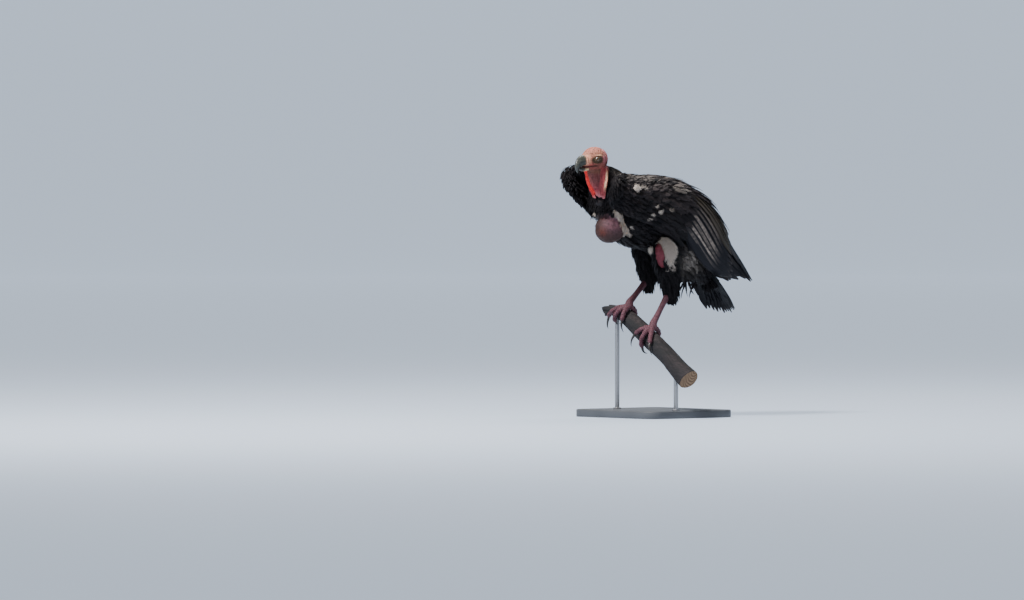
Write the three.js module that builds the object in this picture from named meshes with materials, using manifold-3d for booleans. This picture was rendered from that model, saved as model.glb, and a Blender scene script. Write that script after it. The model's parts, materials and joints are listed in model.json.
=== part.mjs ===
// A red-headed vulture (Sarcogyps calvus) at life size, hunched on the broken end of a sloping dead branch,
// with the branch held over a flat base by two rods. It is a still model, so nothing moves.
//
// Units are millimetres. X runs to the bird's left, Y to its tail and Z up. The bird is worked out from the
// top of the branch midway between its feet, and the group lifts it to its height over the base.
import * as THREE from "three";
import { mergeVertices } from "three/addons/utils/BufferGeometryUtils.js";
import Module from "manifold-3d";

const wasm = await Module();
wasm.setup();

const perchHeight = 262; // top of the branch between the feet, over the underside of the base
const gap = 0.3; // clearance between touching pieces
const leftAndRight = [
  { name: "left", side: 1 },
  { name: "right", side: -1 },
];

const at = (x, y, z) => new THREE.Vector3(x, y, z);
const up = at(0, 0, 1);
const ahead = at(0, -1, 0);
const leftward = at(1, 0, 0);
const radians = THREE.MathUtils.degToRad;
const mix = THREE.MathUtils.lerp;

// ---------------------------------------------------------------- solids

// A closed solid from points and triangles, whichever way round the triangles were listed.
function solid(points, triangles) {
  const geometry = new THREE.BufferGeometry();
  geometry.setAttribute(
    "position",
    new THREE.Float32BufferAttribute(points.flatMap((p) => [p.x, p.y, p.z]), 3),
  );
  geometry.setIndex(triangles);
  const merged = mergeVertices(geometry, 1e-3);
  const vertProperties = merged.attributes.position.array;
  const triVerts = new Uint32Array(merged.index.array);
  const made = new wasm.Manifold(new wasm.Mesh({ numProp: 3, vertProperties, triVerts }));
  if (made.volume() > 0) return made;
  return new wasm.Manifold(
    new wasm.Mesh({ numProp: 3, vertProperties, triVerts: triVerts.reverse() }),
  );
}

// A solid from one of three.js's own closed shapes.
function fromShape(shape) {
  shape.deleteAttribute("normal");
  shape.deleteAttribute("uv");
  const { attributes, index } = mergeVertices(shape, 1e-3);
  const places = attributes.position;
  const points = Array.from({ length: places.count }, (_, i) => at(0, 0, 0).fromBufferAttribute(places, i));
  return solid(points, Array.from(index.array));
}

// A solid skinned over rings that all have the same number of points, closed by a fan at each end.
function skinned(rings) {
  const around = rings[0].length;
  const points = rings.flat();
  const triangles = [];
  for (let i = 0; i + 1 < rings.length; i++)
    for (let j = 0; j < around; j++) {
      const a = i * around + j;
      const b = i * around + ((j + 1) % around);
      triangles.push(a, b, b + around, a, b + around, a + around);
    }
  for (const end of [0, rings.length - 1]) {
    const middle = rings[end].reduce((sum, p) => sum.add(p), at(0, 0, 0)).divideScalar(around);
    points.push(middle);
    for (let j = 0; j < around; j++) {
      const a = end * around + j;
      const b = end * around + ((j + 1) % around);
      triangles.push(...(end ? [a, b, points.length - 1] : [b, a, points.length - 1]));
    }
  }
  return solid(points, triangles);
}

// A smooth function over 0 to 1 through evenly spaced values.
function profile(values) {
  const curve = new THREE.CatmullRomCurve3(values.map((v) => at(v, 0, 0)), false, "catmullrom", 0.5);
  return (s) => curve.getPoint(Math.min(1, Math.max(0, s))).x;
}

// A rounded limb or body. Each key is [centre, half-width, half-depth towards facing, half-depth away
// from it], and a key with one size is round.
function loft(keys, { rings, sides, facing = up, grow = 0 }) {
  const spine = new THREE.CatmullRomCurve3(keys.map((k) => k[0]), false, "catmullrom", 0.5);
  const [width, front, back] = [1, 2, 3].map((n) => profile(keys.map((k) => k[n] ?? k[n - 1] ?? k[1])));
  const made = [];
  for (let i = 0; i <= rings; i++) {
    const s = i / rings;
    const tangent = spine.getTangent(s).normalize();
    const depthwise = facing.clone().addScaledVector(tangent, -facing.dot(tangent)).normalize();
    const sideways = depthwise.clone().cross(tangent);
    const stretch = (i === rings ? grow : 0) - (i === 0 ? grow : 0);
    const centre = spine.getPoint(s).addScaledVector(tangent, stretch);
    const ring = [];
    for (let j = 0; j < sides; j++) {
      const angle = (2 * Math.PI * j) / sides;
      const depth = Math.sin(angle) > 0 ? front(s) : back(s);
      ring.push(
        centre
          .clone()
          .addScaledVector(sideways, Math.cos(angle) * (width(s) + grow))
          .addScaledVector(depthwise, Math.sin(angle) * (depth + grow)),
      );
    }
    made.push(ring);
  }
  return skinned(made);
}

// A single broad feather or fold: a thin plate along spots, each {point, normal}, its flat side facing
// normal.
function plate(spots, halfWidth, thickness, outline, grow = 0) {
  const last = spots.length - 1;
  const rings = spots.map((spot, i) => {
    const along = spots[Math.min(last, i + 1)].point.clone().sub(spots[Math.max(0, i - 1)].point).normalize();
    const across = spot.normal.clone().cross(along).normalize();
    const half = halfWidth * outline(i / last) + grow;
    const stretch = i === 0 ? -grow : i === last ? grow : 0;
    const centre = spot.point.clone().addScaledVector(along, stretch);
    return [[1, 1], [-1, 1], [-1, -1], [1, -1]].map(([sideways, outwards]) =>
      centre
        .clone()
        .addScaledVector(across, sideways * half)
        .addScaledVector(spot.normal, outwards * (thickness / 2 + grow)),
    );
  });
  return skinned(rings);
}

// A closed sheet between two grids of points, [column][row], that match one to one.
function sheet(outer, inner) {
  const [columns, rows] = [outer.length, outer[0].length];
  const at2 = (column, row) => column * rows + row;
  const behind = columns * rows;
  const triangles = [];
  for (let c = 0; c + 1 < columns; c++)
    for (let r = 0; r + 1 < rows; r++) {
      const [a, b, d, e] = [at2(c, r), at2(c + 1, r), at2(c + 1, r + 1), at2(c, r + 1)];
      triangles.push(a, b, d, a, d, e);
      triangles.push(behind + a, behind + d, behind + b, behind + a, behind + e, behind + d);
    }
  const border = [];
  for (let r = 0; r + 1 < rows; r++) border.push(at2(0, r));
  for (let c = 0; c + 1 < columns; c++) border.push(at2(c, rows - 1));
  for (let r = rows - 1; r > 0; r--) border.push(at2(columns - 1, r));
  for (let c = columns - 1; c > 0; c--) border.push(at2(c, 0));
  border.forEach((a, n) => {
    const b = border[(n + 1) % border.length];
    triangles.push(a, b, behind + b, a, behind + b, behind + a);
  });
  return solid([...outer.flat(), ...inner.flat()], triangles);
}

// A row of quills as one closed sheet. spotAt(u, v) is {point, normal} across the row (u) and from the roots
// to full reach (v). reach(i) is how far quill i goes, and notch is how much shorter the sheet is between two
// tips.
const tipPlace = 0.45; // where a quill's tip is across its width
function fan(count, spotAt, reach, notch, thickness, rows, grow) {
  const columns = [];
  for (let i = 0; i < count; i++) {
    const between = i ? Math.min(reach(i), reach(i - 1)) - notch : reach(i) - notch;
    columns.push([i / count, between]);
    columns.push([(i + tipPlace) / count, reach(i)]);
  }
  columns.push([1, reach(count - 1) - notch]);
  const level = Math.min(...columns.map((column) => column[1])) - notch / 2;
  const grids = [1, -1].map((outwards) =>
    columns.map(([u, far], n) => {
      const sideways = n === 0 ? -grow : n === columns.length - 1 ? grow : 0;
      return Array.from({ length: rows + 1 }, (_, row) => {
        const v = row < rows ? (level * row) / (rows - 1) : far;
        const { point, normal } = spotAt(u, v);
        const onward = spotAt(u, v + 0.01).point.sub(point).normalize();
        const across = spotAt(u + 0.01, v).point.sub(point).normalize();
        const lengthways = row === 0 ? -grow : row === rows ? grow : 0;
        const half = (thickness / 2) * mix(1, 0.5, row / rows) + grow;
        return point
          .addScaledVector(onward, lengthways)
          .addScaledVector(across, sideways)
          .addScaledVector(normal, outwards * half);
      });
    }),
  );
  return sheet(...grids);
}

const union = (solids) => solids.reduce((sum, piece) => sum.add(piece));

// ---------------------------------------------------------------- nodes

const bird = new THREE.Group();
const taken = []; // what the pieces so far fill, grown by the gap

const colours = {
  blackFeather: [0x1b191c, 0.6],
  redSkin: [0xb0564c, 0.55],
  cropSkin: [0x7d5f62, 0.6],
  horn: [0x565a55, 0.35],
  claw: [0x24211f, 0.35],
  legSkin: [0x9a5560, 0.6],
  eye: [0x2b1a10, 0.1],
  deadWood: [0x6f6862, 0.9],
  standPaint: [0x3a3a3c, 0.5],
};

// Adds a node. make(grow) gives its solid, grown by that much. Whatever earlier nodes fill is cut from it.
function place(name, colour, make) {
  let piece = make(0);
  for (const other of taken) piece = piece.subtract(other);
  const bodies = piece.decompose().sort((a, b) => b.volume() - a.volume());
  const mesh = bodies[0].getMesh();
  const geometry = new THREE.BufferGeometry();
  const places = [];
  for (let i = 0; i < mesh.numVert; i++)
    places.push(...mesh.vertProperties.subarray(i * mesh.numProp, i * mesh.numProp + 3));
  geometry.setAttribute("position", new THREE.Float32BufferAttribute(places, 3));
  geometry.setIndex(new THREE.BufferAttribute(mesh.triVerts, 1));
  geometry.computeVertexNormals();
  const [color, roughness] = colours[colour];
  const node = new THREE.Mesh(geometry, new THREE.MeshStandardMaterial({ color, roughness, metalness: 0 }));
  node.name = name;
  bird.add(node);
  taken.push(make(gap).add(make(0))); // the plain one too, for corners where the grown one falls short
}

// ---------------------------------------------------------------- head

// The head is drawn level and facing ahead, then turned to its left, tipped down and set on the neck.
const headPlace = at(12, -178, 416);
const headTurn = radians(18);
const headTip = radians(5);
const headMatrix = new THREE.Matrix4()
  .makeTranslation(headPlace.x, headPlace.y, headPlace.z)
  .multiply(new THREE.Matrix4().makeRotationZ(headTurn))
  .multiply(new THREE.Matrix4().makeRotationX(headTip));
const onHead = (made) => made.transform(headMatrix.elements);

// A horn sheath of the bill, from the cere to the tip. The upper one hooks down over the lower, so its keys
// give half-height first and half-width after that.
const upperBill = [
  [at(0, -36, 5), 15, 12],
  [at(0, -50, 5.5), 16, 11.5],
  [at(0, -63, 4.5), 15, 10.5],
  [at(0, -74, 0), 12, 8.5],
  [at(0, -80, -9), 8, 6],
  [at(0, -81, -17), 5, 3.8],
  [at(0, -79, -24), 1.6, 1.4],
];
const lowerBill = [
  [at(0, -32, -17), 11, 5, 7],
  [at(0, -50, -17), 10, 5, 7.5],
  [at(0, -64, -15), 8, 4, 6],
  [at(0, -74, -14), 3.5, 2, 3],
];
const skull = [
  [at(0, 47, 2), 6, 8, 8],
  [at(0, 38, 3), 23, 26, 24],
  [at(0, 22, 3), 32, 33.5, 31],
  [at(0, 4, 3), 33.5, 35.5, 32],
  [at(0, -12, 3), 29, 32, 30],
  [at(0, -27, 2), 21, 25, 26],
  [at(0, -40, 1), 14.5, 20, 20],
  [at(0, -48, 1), 12.5, 18, 17],
];
const eyeRadius = 8.6;
const eyePlace = at(22.5, -13, 6);

for (const { name, side } of leftAndRight)
  place(`eye_${name}`, "eye", (grow) => {
    const ball = new THREE.SphereGeometry(eyeRadius + grow, 10, 7);
    return onHead(fromShape(ball.translate(side * eyePlace.x, eyePlace.y, eyePlace.z)));
  });
place("head", "redSkin", (grow) => onHead(loft(skull, { rings: 8, sides: 14, facing: up, grow })));
place("bill_upper", "horn", (grow) =>
  onHead(loft(upperBill, { rings: 9, sides: 10, facing: leftward, grow })),
);
place("bill_lower", "horn", (grow) => onHead(loft(lowerBill, { rings: 4, sides: 8, facing: up, grow })));

// ---------------------------------------------------------------- wings

// The folded wing is a shell round the side of the body, from the wrist at s = 0 to the wing tip at s = 1,
// and from its lower edge at t = 0 to its upper edge on the back at t = 1.
const wing = {
  spineY: profile([-182, -100, -12, 76, 166, 254, 353]),
  spineZ: profile([350, 324, 295, 258, 210, 154, 88]),
  halfWidth: profile([117, 122, 118, 110, 92, 72, 50]),
  heightAbove: profile([50, 68, 98, 118, 108, 70, 34]),
  heightBelow: profile([56, 76, 88, 92, 88, 62, 26]),
  lowEdge: profile([-62, -50, -36, -32, -44, -50, -35]),
  highEdge: profile([62, 70, 80, 86, 86, 70, 40]),
  thickness: profile([42, 36, 27, 18, 12, 8, 5]),
};
const wingFlatness = 0.72; // under 1 makes the shell's sides flatter than an ellipse's
const wingLength = 560;
const wingGirth = 190; // round the side of the body
const wristLift = { left: 3, right: 39 }; // the right shoulder is hunched higher

function wingSpot(name, side, s, t, depth = 0) {
  const step = 0.01;
  const run = at(
    0,
    wing.spineY(s + step) - wing.spineY(s - step),
    wing.spineZ(s + step) - wing.spineZ(s - step),
  ).normalize();
  const dorsal = at(0, -run.z, run.y);
  const angle = radians(mix(wing.lowEdge(s), wing.highEdge(s), t));
  const high = Math.sin(angle) > 0 ? wing.heightAbove(s) : wing.heightBelow(s);
  const wide = wing.halfWidth(s);
  const normal = leftward
    .clone()
    .multiplyScalar((side * Math.cos(angle)) / wide)
    .addScaledVector(dorsal, Math.sin(angle) / high)
    .normalize();
  const lift = wristLift[name] * Math.max(0, 1 - 4.2 * s);
  const point = at(side * wide * Math.cos(angle) ** wingFlatness, wing.spineY(s), wing.spineZ(s) + lift)
    .addScaledVector(dorsal, high * Math.sin(angle))
    .addScaledVector(normal, -depth);
  return { point, normal };
}

// The shoulder, forearm and coverts: a shell whose front end is rounded off at the wrist.
const covertsEnd = 0.55;
const covertRings = 9;
const covertSteps = 9;
function coverts(name, side, grow) {
  const grids = [-1, 1].map((inwards) =>
    Array.from({ length: covertRings + 1 }, (_, i) => {
      const share = i / covertRings;
      const s = mix(-grow / wingLength, covertsEnd + grow / wingLength, share);
      const rounding = Math.sqrt(1 - (1 - Math.min(1, 0.2 + share / 0.25)) ** 2);
      return Array.from({ length: covertSteps + 1 }, (_, j) => {
        const across = j / covertSteps;
        const t = mix(0.45, mix(-grow, wingGirth + grow, across) / wingGirth, rounding);
        const edge = Math.sqrt(1 - (2 * across - 1) ** 4);
        const middle = wing.thickness(s) / 2;
        const half = middle * Math.max(0.25, edge) * mix(0.35, 1, rounding) + grow;
        return wingSpot(name, side, s, t, middle + inwards * half).point;
      });
    }),
  );
  return sheet(...grids);
}

// The flight feathers lie on the same shell, and their tips make its ragged rear end.
const secondaryCount = 9;
const secondaries = (name, side, grow) =>
  fan(
    secondaryCount,
    (u, v) => wingSpot(name, side, 0.5 + v, mix(0.03, 1, u), mix(7, 3, v / 0.35)),
    (i) => 0.35 + 0.045 * Math.cos((3 * i) / secondaryCount) - (0.05 * i) / secondaryCount + 0.014 * (i % 2),
    0.035,
    4,
    5,
    grow,
  );
const primaryReach = [0.35, 0.405, 0.395, 0.43, 0.46, 0.465]; // the lowest quill first
const primaries = (name, side, grow) =>
  fan(
    primaryReach.length,
    (u, v) => wingSpot(name, side, 0.53 + v, mix(0.05 + 0.5 * u, 0.85 * u - 0.16, 2 * v), mix(12, 7, 3 * v)),
    (i) => primaryReach[i],
    0.04,
    4,
    5,
    grow,
  );
for (const { name, side } of leftAndRight) {
  place(`wing_${name}_coverts`, "blackFeather", (grow) => coverts(name, side, grow));
  place(`wing_${name}_secondaries`, "blackFeather", (grow) => secondaries(name, side, grow));
  place(`wing_${name}_primaries`, "blackFeather", (grow) => primaries(name, side, grow));
}

// ---------------------------------------------------------------- neck, lappets and ruff

const neck = [
  [at(0, -84, 296), 30, 34, 30],
  [at(0, -112, 322), 28, 32, 28],
  [at(2, -130, 350), 26, 27, 26],
  [at(6, -144, 380), 26, 25, 26],
  [at(10, -158, 402), 22, 20, 22],
];
place("neck", "redSkin", (grow) => loft(neck, { rings: 6, sides: 12, facing: ahead, grow }));

// A lappet is a flat fold of bare skin that hangs from behind the ear down the side of the throat.
const lappetWidth = 9.5; // half
const lappetThickness = 6;
const lappetRoot = { left: at(41, -152, 396), right: at(-30, -168, 398) };
const lappetTip = { left: at(27, -148, 318), right: at(-17, -155, 321) };
for (const { name, side } of leftAndRight)
  place(`lappet_${name}`, "redSkin", (grow) => {
    const bow = at(side * 3, -5, 0);
    const spots = [0, 0.25, 0.5, 0.75, 1].map((s) => ({
      point: lappetRoot[name].clone().lerp(lappetTip[name], s).addScaledVector(bow, Math.sin(s * Math.PI)),
      normal: at(side * 0.5, -0.87, 0),
    }));
    return plate(spots, lappetWidth, lappetThickness, profile([0.6, 0.95, 1, 0.85, 0.5]), grow);
  });

// The ruff stands round the neck between the hunched shoulders.
const ruffSize = at(96, 50, 55);
const ruffPlace = at(0, -100, 338);
place("ruff", "blackFeather", (grow) =>
  loft(
    [-1, -0.85, -0.5, 0, 0.5, 0.85, 1].map((x) => {
      const round = Math.max(0.12, Math.sqrt(1 - x * x));
      return [
        at(ruffPlace.x + x * ruffSize.x, ruffPlace.y, ruffPlace.z),
        ruffSize.y * round,
        ruffSize.z * round,
        ruffSize.z * round,
      ];
    }),
    { rings: 7, sides: 10, facing: up, grow },
  ),
);

// ---------------------------------------------------------------- trunk and crop

const trunk = [
  [at(0, -150, 312), 20, 14, 20],
  [at(0, -128, 306), 56, 42, 48],
  [at(0, -76, 296), 80, 74, 88],
  [at(0, -8, 274), 87, 104, 94],
  [at(0, 62, 243), 87, 118, 76],
  [at(0, 128, 204), 80, 116, 80],
  [at(0, 182, 164), 62, 80, 88],
  [at(0, 218, 126), 40, 34, 48],
  [at(0, 236, 104), 12, 8, 18],
];
place("trunk", "blackFeather", (grow) => loft(trunk, { rings: 12, sides: 16, facing: up, grow }));

// The crop is a bare bulge at the foot of the throat.
const crop = [
  [at(6, -74, 262), 14, 14, 14],
  [at(6, -88, 254), 33, 33, 33],
  [at(6, -108, 242), 40, 40, 40],
  [at(6, -130, 229), 35, 35, 35],
  [at(6, -145, 220), 20, 20, 20],
  [at(6, -149, 217), 6, 6, 6],
];
place("crop", "cropSkin", (grow) => loft(crop, { rings: 8, sides: 14, facing: up, grow }));

// ---------------------------------------------------------------- tail

const tailRoot = at(0, 158, 192);
const tailPitch = radians(53); // below level
const tailLength = 228;
const tailFeathers = 12;
const tailSpread = radians(8); // from the middle to the outermost quill
const tailHalfWidth = 33; // at the root
const tailDome = 9; // how far the outer quills sit below the middle ones
const tailDown = at(0, Math.cos(tailPitch), -Math.sin(tailPitch));
const tailBack = at(0, Math.sin(tailPitch), Math.cos(tailPitch));
place("tail", "blackFeather", (grow) =>
  fan(
    tailFeathers,
    (u, v) => {
      const across = 2 * u - 1;
      const point = tailRoot
        .clone()
        .addScaledVector(tailDown, tailLength * v * Math.cos(across * tailSpread))
        .addScaledVector(leftward, across * tailHalfWidth + tailLength * v * Math.sin(across * tailSpread))
        .addScaledVector(tailBack, 10 * Math.sin(2.6 * v) - tailDome * across * across);
      return { point, normal: tailBack.clone().addScaledVector(leftward, 0.3 * across).normalize() };
    },
    (i) => 1 - 0.08 * ((2 * i) / (tailFeathers - 1) - 1) ** 2 + 0.016 * Math.cos(2.4 * i),
    0.035,
    6,
    3,
    grow,
  ),
);

// ---------------------------------------------------------------- branch

const branchSlope = radians(33); // below level, towards the bird's left
const branchRun = at(Math.cos(branchSlope), 0, -Math.sin(branchSlope));
const branchBack = -8; // Y of the branch's axis
const branchWander = at(47, 3, 0); // how long and how wide its bends are
const branchDip = 0.0046; // how fast it levels off towards its broken end
const branchUnder = -26; // Z of its axis under the origin
const branchBroken = -128; // X of the broken end
const branchCut = 205; // X of the cut end
const branchRadius = profile([15, 19, 22, 23.5, 24.5, 25.5, 26.5, 28]); // from the broken end to the cut one
const branchSides = 12;
const branchRings = 11;
const branchShare = (x) => (x - branchBroken) / (branchCut - branchBroken);
const levelsOffAt = -36; // X where it bends towards level, near its broken end
const branchAxis = (x) =>
  at(
    x,
    branchBack + branchWander.y * Math.sin(x / branchWander.x),
    branchUnder - x * Math.tan(branchSlope) - branchDip * Math.min(0, x - levelsOffAt) ** 2,
  );

// Low swells and hollows, so that the wood isn't a plain pole.
const knotty = (angle, share) =>
  1 + 0.05 * Math.sin(2 * angle + 9 * share) + 0.03 * Math.sin(3 * angle - 17 * share + 1);

const branch = (grow) => {
  const rings = [];
  for (let i = 0; i <= branchRings; i++) {
    const share = i / branchRings;
    const x = mix(branchBroken, branchCut, share);
    const stretch = i === 0 ? -grow : i === branchRings ? grow : 0;
    const centre = branchAxis(x).addScaledVector(branchRun, stretch);
    const ring = [];
    for (let j = 0; j < branchSides; j++) {
      const angle = (2 * Math.PI * j) / branchSides;
      const radius = branchRadius(share) * knotty(angle, share) + grow;
      const splinter = i === 0 ? 7 * Math.sin(3 * angle + 0.6) + 5 * Math.sin(angle) : 0;
      ring.push(
        centre
          .clone()
          .addScaledVector(branchRun, -splinter)
          .addScaledVector(ahead, radius * Math.cos(angle))
          .addScaledVector(ahead.clone().cross(branchRun), radius * Math.sin(angle)),
      );
    }
    rings.push(ring);
  }
  return skinned(rings);
};
place("perch_branch", "deadWood", branch);

// ---------------------------------------------------------------- legs

// A point on or over the branch: along it at x, round it from the top by turn (ahead is positive), out by
// rise.
function onBranch(x, turn, rise) {
  const outwards = ahead.clone().multiplyScalar(Math.sin(turn));
  outwards.addScaledVector(ahead.clone().cross(branchRun), Math.cos(turn));
  return branchAxis(x).addScaledVector(outwards, branchRadius(branchShare(x)) + rise);
}

const toeRadius = 6.5;
const clawLength = 38;
const legs = {
  left: {
    hip: at(60, 28, 214), knee: at(68, 20, 182), hock: at(45, 59, 70), tuft: at(49, 70, 40), footX: 37,
  },
  right: {
    hip: at(-54, 50, 224), knee: at(-56, 60, 184), hock: at(-50, 65, 101), tuft: at(-53, 74, 66), footX: -52,
  },
};
// Each toe's heading from straight ahead, in degrees, and its length. The last one grips from behind. A claw
// curls on round the branch, unless it hangs.
const toes = {
  left: [
    { heading: 10, length: 74 },
    { heading: 46, length: 58 },
    { heading: -22, length: 52, hangs: true },
    { heading: 174, length: 40 },
  ],
  right: [
    { heading: -10, length: 72 },
    { heading: -36, length: 74, hangs: true },
    { heading: 28, length: 52 },
    { heading: 168, length: 40 },
  ],
};

// A toe lies along the branch as a straight line would on its unrolled bark.
function toePath(footX, { heading, length }) {
  const angle = radians(heading);
  return (s) => {
    const x = Math.max(branchBroken, footX + Math.sin(angle) * length * s * Math.cos(branchSlope));
    const turn = (Math.cos(angle) * length * s) / (branchRadius(branchShare(x)) + toeRadius);
    return onBranch(x, turn, toeRadius);
  };
}
const toeWidth = profile([1.3, 1.05, 1.12, 0.92, 1.02, 0.8]);

for (const { name } of leftAndRight) {
  const leg = legs[name];
  const foot = onBranch(leg.footX, 0, toeRadius);
  const ankle = foot.clone().add(at(0, 3, 13));
  const trouser = [
    [leg.hip, 28, 34, 40],
    [leg.knee, 33, 36, 46],
    [leg.knee.clone().lerp(leg.hock, 0.4), 30, 32, 40],
    [leg.knee.clone().lerp(leg.hock, 0.75).add(at(0, 4, 0)), 25, 26, 37],
    [leg.hock.clone().lerp(leg.tuft, 0.3), 18, 19, 22],
    [leg.tuft, 7, 7, 10],
  ];
  place(`thigh_${name}`, "blackFeather", (grow) =>
    loft(trouser, { rings: 9, sides: 12, facing: ahead, grow }),
  );
  place(`tarsus_${name}`, "legSkin", (grow) =>
    loft(
      [
        [leg.hock.clone().add(at(0, 4, 8)), 8, 8, 8],
        [leg.hock, 10, 10, 10],
        [leg.hock.clone().lerp(ankle, 0.3), 8.2, 8.6, 8.6],
        [leg.hock.clone().lerp(ankle, 0.75), 8, 8.2, 8.2],
        [ankle, 10, 10, 10],
      ],
      { rings: 7, sides: 10, facing: ahead, grow },
    ),
  );
  toes[name].forEach((toe, i) =>
    place(`claw_${name}_${i + 1}`, "claw", (grow) => {
      const path = toePath(leg.footX, toe);
      const end = path(1);
      const outwards = end.clone().sub(branchAxis(end.x)).setX(0).normalize();
      const run = end.clone().sub(path(0.9)).normalize();
      run.addScaledVector(toe.hangs ? up : outwards, toe.hangs ? -1.2 : -0.25).normalize();
      const length = clawLength * (toe.hangs ? 1 : 0.84);
      const keys = [0, 0.35, 0.7, 1].map((s) => {
        const half = mix(4.4, 0.9, s);
        const spot = end
          .clone()
          .addScaledVector(run, length * s)
          .addScaledVector(outwards, 0.16 * length * Math.sin(Math.PI * s));
        return [spot, half * 0.85, half, half];
      });
      return loft(keys, { rings: 4, sides: 5, facing: branchRun, grow });
    }),
  );
  place(`foot_${name}`, "legSkin", (grow) => {
    const pad = loft(
      [
        [ankle.clone().add(at(0, 1, 5)), 8, 8, 8],
        [foot.clone().add(at(0, 1, 5)), 12, 13, 12],
        [foot.clone().add(at(0, 0, -4)), 11, 12, 12],
      ],
      { rings: 3, sides: 8, facing: ahead, grow },
    );
    const made = toes[name].map((toe) => {
      const path = toePath(leg.footX, toe);
      const keys = [0, 0.2, 0.4, 0.6, 0.8, 1].map((s) => [path(s), toeRadius * toeWidth(s)]);
      return loft(keys, { rings: 4, sides: 5, facing: branchRun, grow });
    });
    return union([pad, ...made]);
  });
}

// ---------------------------------------------------------------- display stand

const baseSize = at(330, 300, 20);
const baseCorner = 40;
const baseMiddle = at(16, 30, 0);
const baseUnder = -perchHeight; // in the bird's own frame
const rodRadius = 6;
const rodPlaces = [-84, 150]; // X of each rod along the branch

place("stand_base", "standPaint", (grow) => {
  const half = { x: baseSize.x / 2 + grow, y: baseSize.y / 2 + grow };
  const ring = (z, inset) => {
    const points = [];
    for (const [sx, sy, from] of [[1, 1, 0], [-1, 1, 90], [-1, -1, 180], [1, -1, 270]])
      for (const degrees of [0, 22.5, 45, 67.5, 90]) {
        const angle = radians(from + degrees);
        points.push(
          at(
            baseMiddle.x + sx * (half.x - baseCorner) + (baseCorner - inset) * Math.cos(angle),
            baseMiddle.y + sy * (half.y - baseCorner) + (baseCorner - inset) * Math.sin(angle),
            z,
          ),
        );
      }
    return points;
  };
  const top = baseUnder + baseSize.z + grow;
  return skinned([ring(baseUnder - grow, 0), ring(top - 3, 0), ring(top, 3)]);
});
rodPlaces.forEach((x, i) =>
  place(`stand_rod_${i + 1}`, "standPaint", (grow) => {
    const foot = baseUnder + baseSize.z - 4;
    const head = branchAxis(x).z - 6;
    const rod = new THREE.CylinderGeometry(rodRadius + grow, rodRadius + grow, head - foot, 12);
    return fromShape(rod.rotateX(Math.PI / 2).translate(x, branchAxis(x).y, (head + foot) / 2));
  }),
);

bird.position.z = perchHeight;
const model = new THREE.Group();
model.add(bird);
export default model;
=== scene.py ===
import json
import math
import random
import bmesh
import bpy
import numpy as np
from mathutils import Matrix, Vector, kdtree
from mathutils import noise as lattice

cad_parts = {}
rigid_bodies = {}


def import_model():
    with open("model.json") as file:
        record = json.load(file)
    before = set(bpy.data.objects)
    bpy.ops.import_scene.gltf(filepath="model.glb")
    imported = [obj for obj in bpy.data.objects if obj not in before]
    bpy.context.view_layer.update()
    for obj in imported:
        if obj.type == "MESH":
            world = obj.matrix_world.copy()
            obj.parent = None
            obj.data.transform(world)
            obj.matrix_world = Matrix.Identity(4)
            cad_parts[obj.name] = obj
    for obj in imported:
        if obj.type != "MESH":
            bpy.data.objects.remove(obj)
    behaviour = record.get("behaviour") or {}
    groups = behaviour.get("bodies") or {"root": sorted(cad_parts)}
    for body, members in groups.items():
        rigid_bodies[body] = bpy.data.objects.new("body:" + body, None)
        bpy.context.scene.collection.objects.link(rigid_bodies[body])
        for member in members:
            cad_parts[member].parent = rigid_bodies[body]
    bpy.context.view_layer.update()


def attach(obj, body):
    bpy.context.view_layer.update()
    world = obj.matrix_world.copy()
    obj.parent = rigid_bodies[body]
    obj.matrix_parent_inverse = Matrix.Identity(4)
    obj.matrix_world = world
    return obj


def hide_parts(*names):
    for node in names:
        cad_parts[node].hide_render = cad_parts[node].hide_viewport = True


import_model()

# ------------------------------------------------------------------ room and camera
# A pale seamless studio floor that curves up behind the stand, three soft lamps and a long lens level with
# the bird. All sizes are in millimetres from the top of the branch midway between the feet.

PERCH_HEIGHT = 262.0  # top of the branch over the underside of the base


def metres(points):
    """Points of the bird's own frame in the scene's metres."""
    return (np.asarray(points, float) + (0, 0, PERCH_HEIGHT)) * 0.001


def keep(name, data, material=None):
    """Adds a mesh or a camera to the scene as an object at the origin."""
    thing = bpy.data.objects.new(name, data)
    bpy.context.scene.collection.objects.link(thing)
    if material:
        data.materials.append(material)
    if hasattr(data, "polygons"):
        data.polygons.foreach_set("use_smooth", [True] * len(data.polygons))
    return thing


camera_turn = math.radians(50)
camera_rise = math.radians(1)
aim_height = 48.0
aim_aside = -342.0  # so that the bird stands right of the middle
rightwards = np.array((math.cos(camera_turn), math.sin(camera_turn), 0))
backwards = np.array((-math.sin(camera_turn), math.cos(camera_turn), 0))
frame_width = 2714.0  # of the view, where the camera aims
lens_mm = 300.0
sensor_mm = 36.0
camera_back = frame_width * lens_mm / sensor_mm
towards_camera = np.array((0, 0, math.sin(camera_rise))) - backwards * math.cos(camera_rise)
camera_data = bpy.data.cameras.new("camera")
camera_data.lens = lens_mm
camera_data.sensor_width = sensor_mm
camera_data.clip_end = 200
camera = keep("camera", camera_data)
camera.location = metres(aim_aside * rightwards + (0, 0, aim_height) + camera_back * towards_camera)
camera.rotation_euler = Vector(-towards_camera).to_track_quat("-Z", "Y").to_euler()
bpy.context.scene.camera = camera


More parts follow.
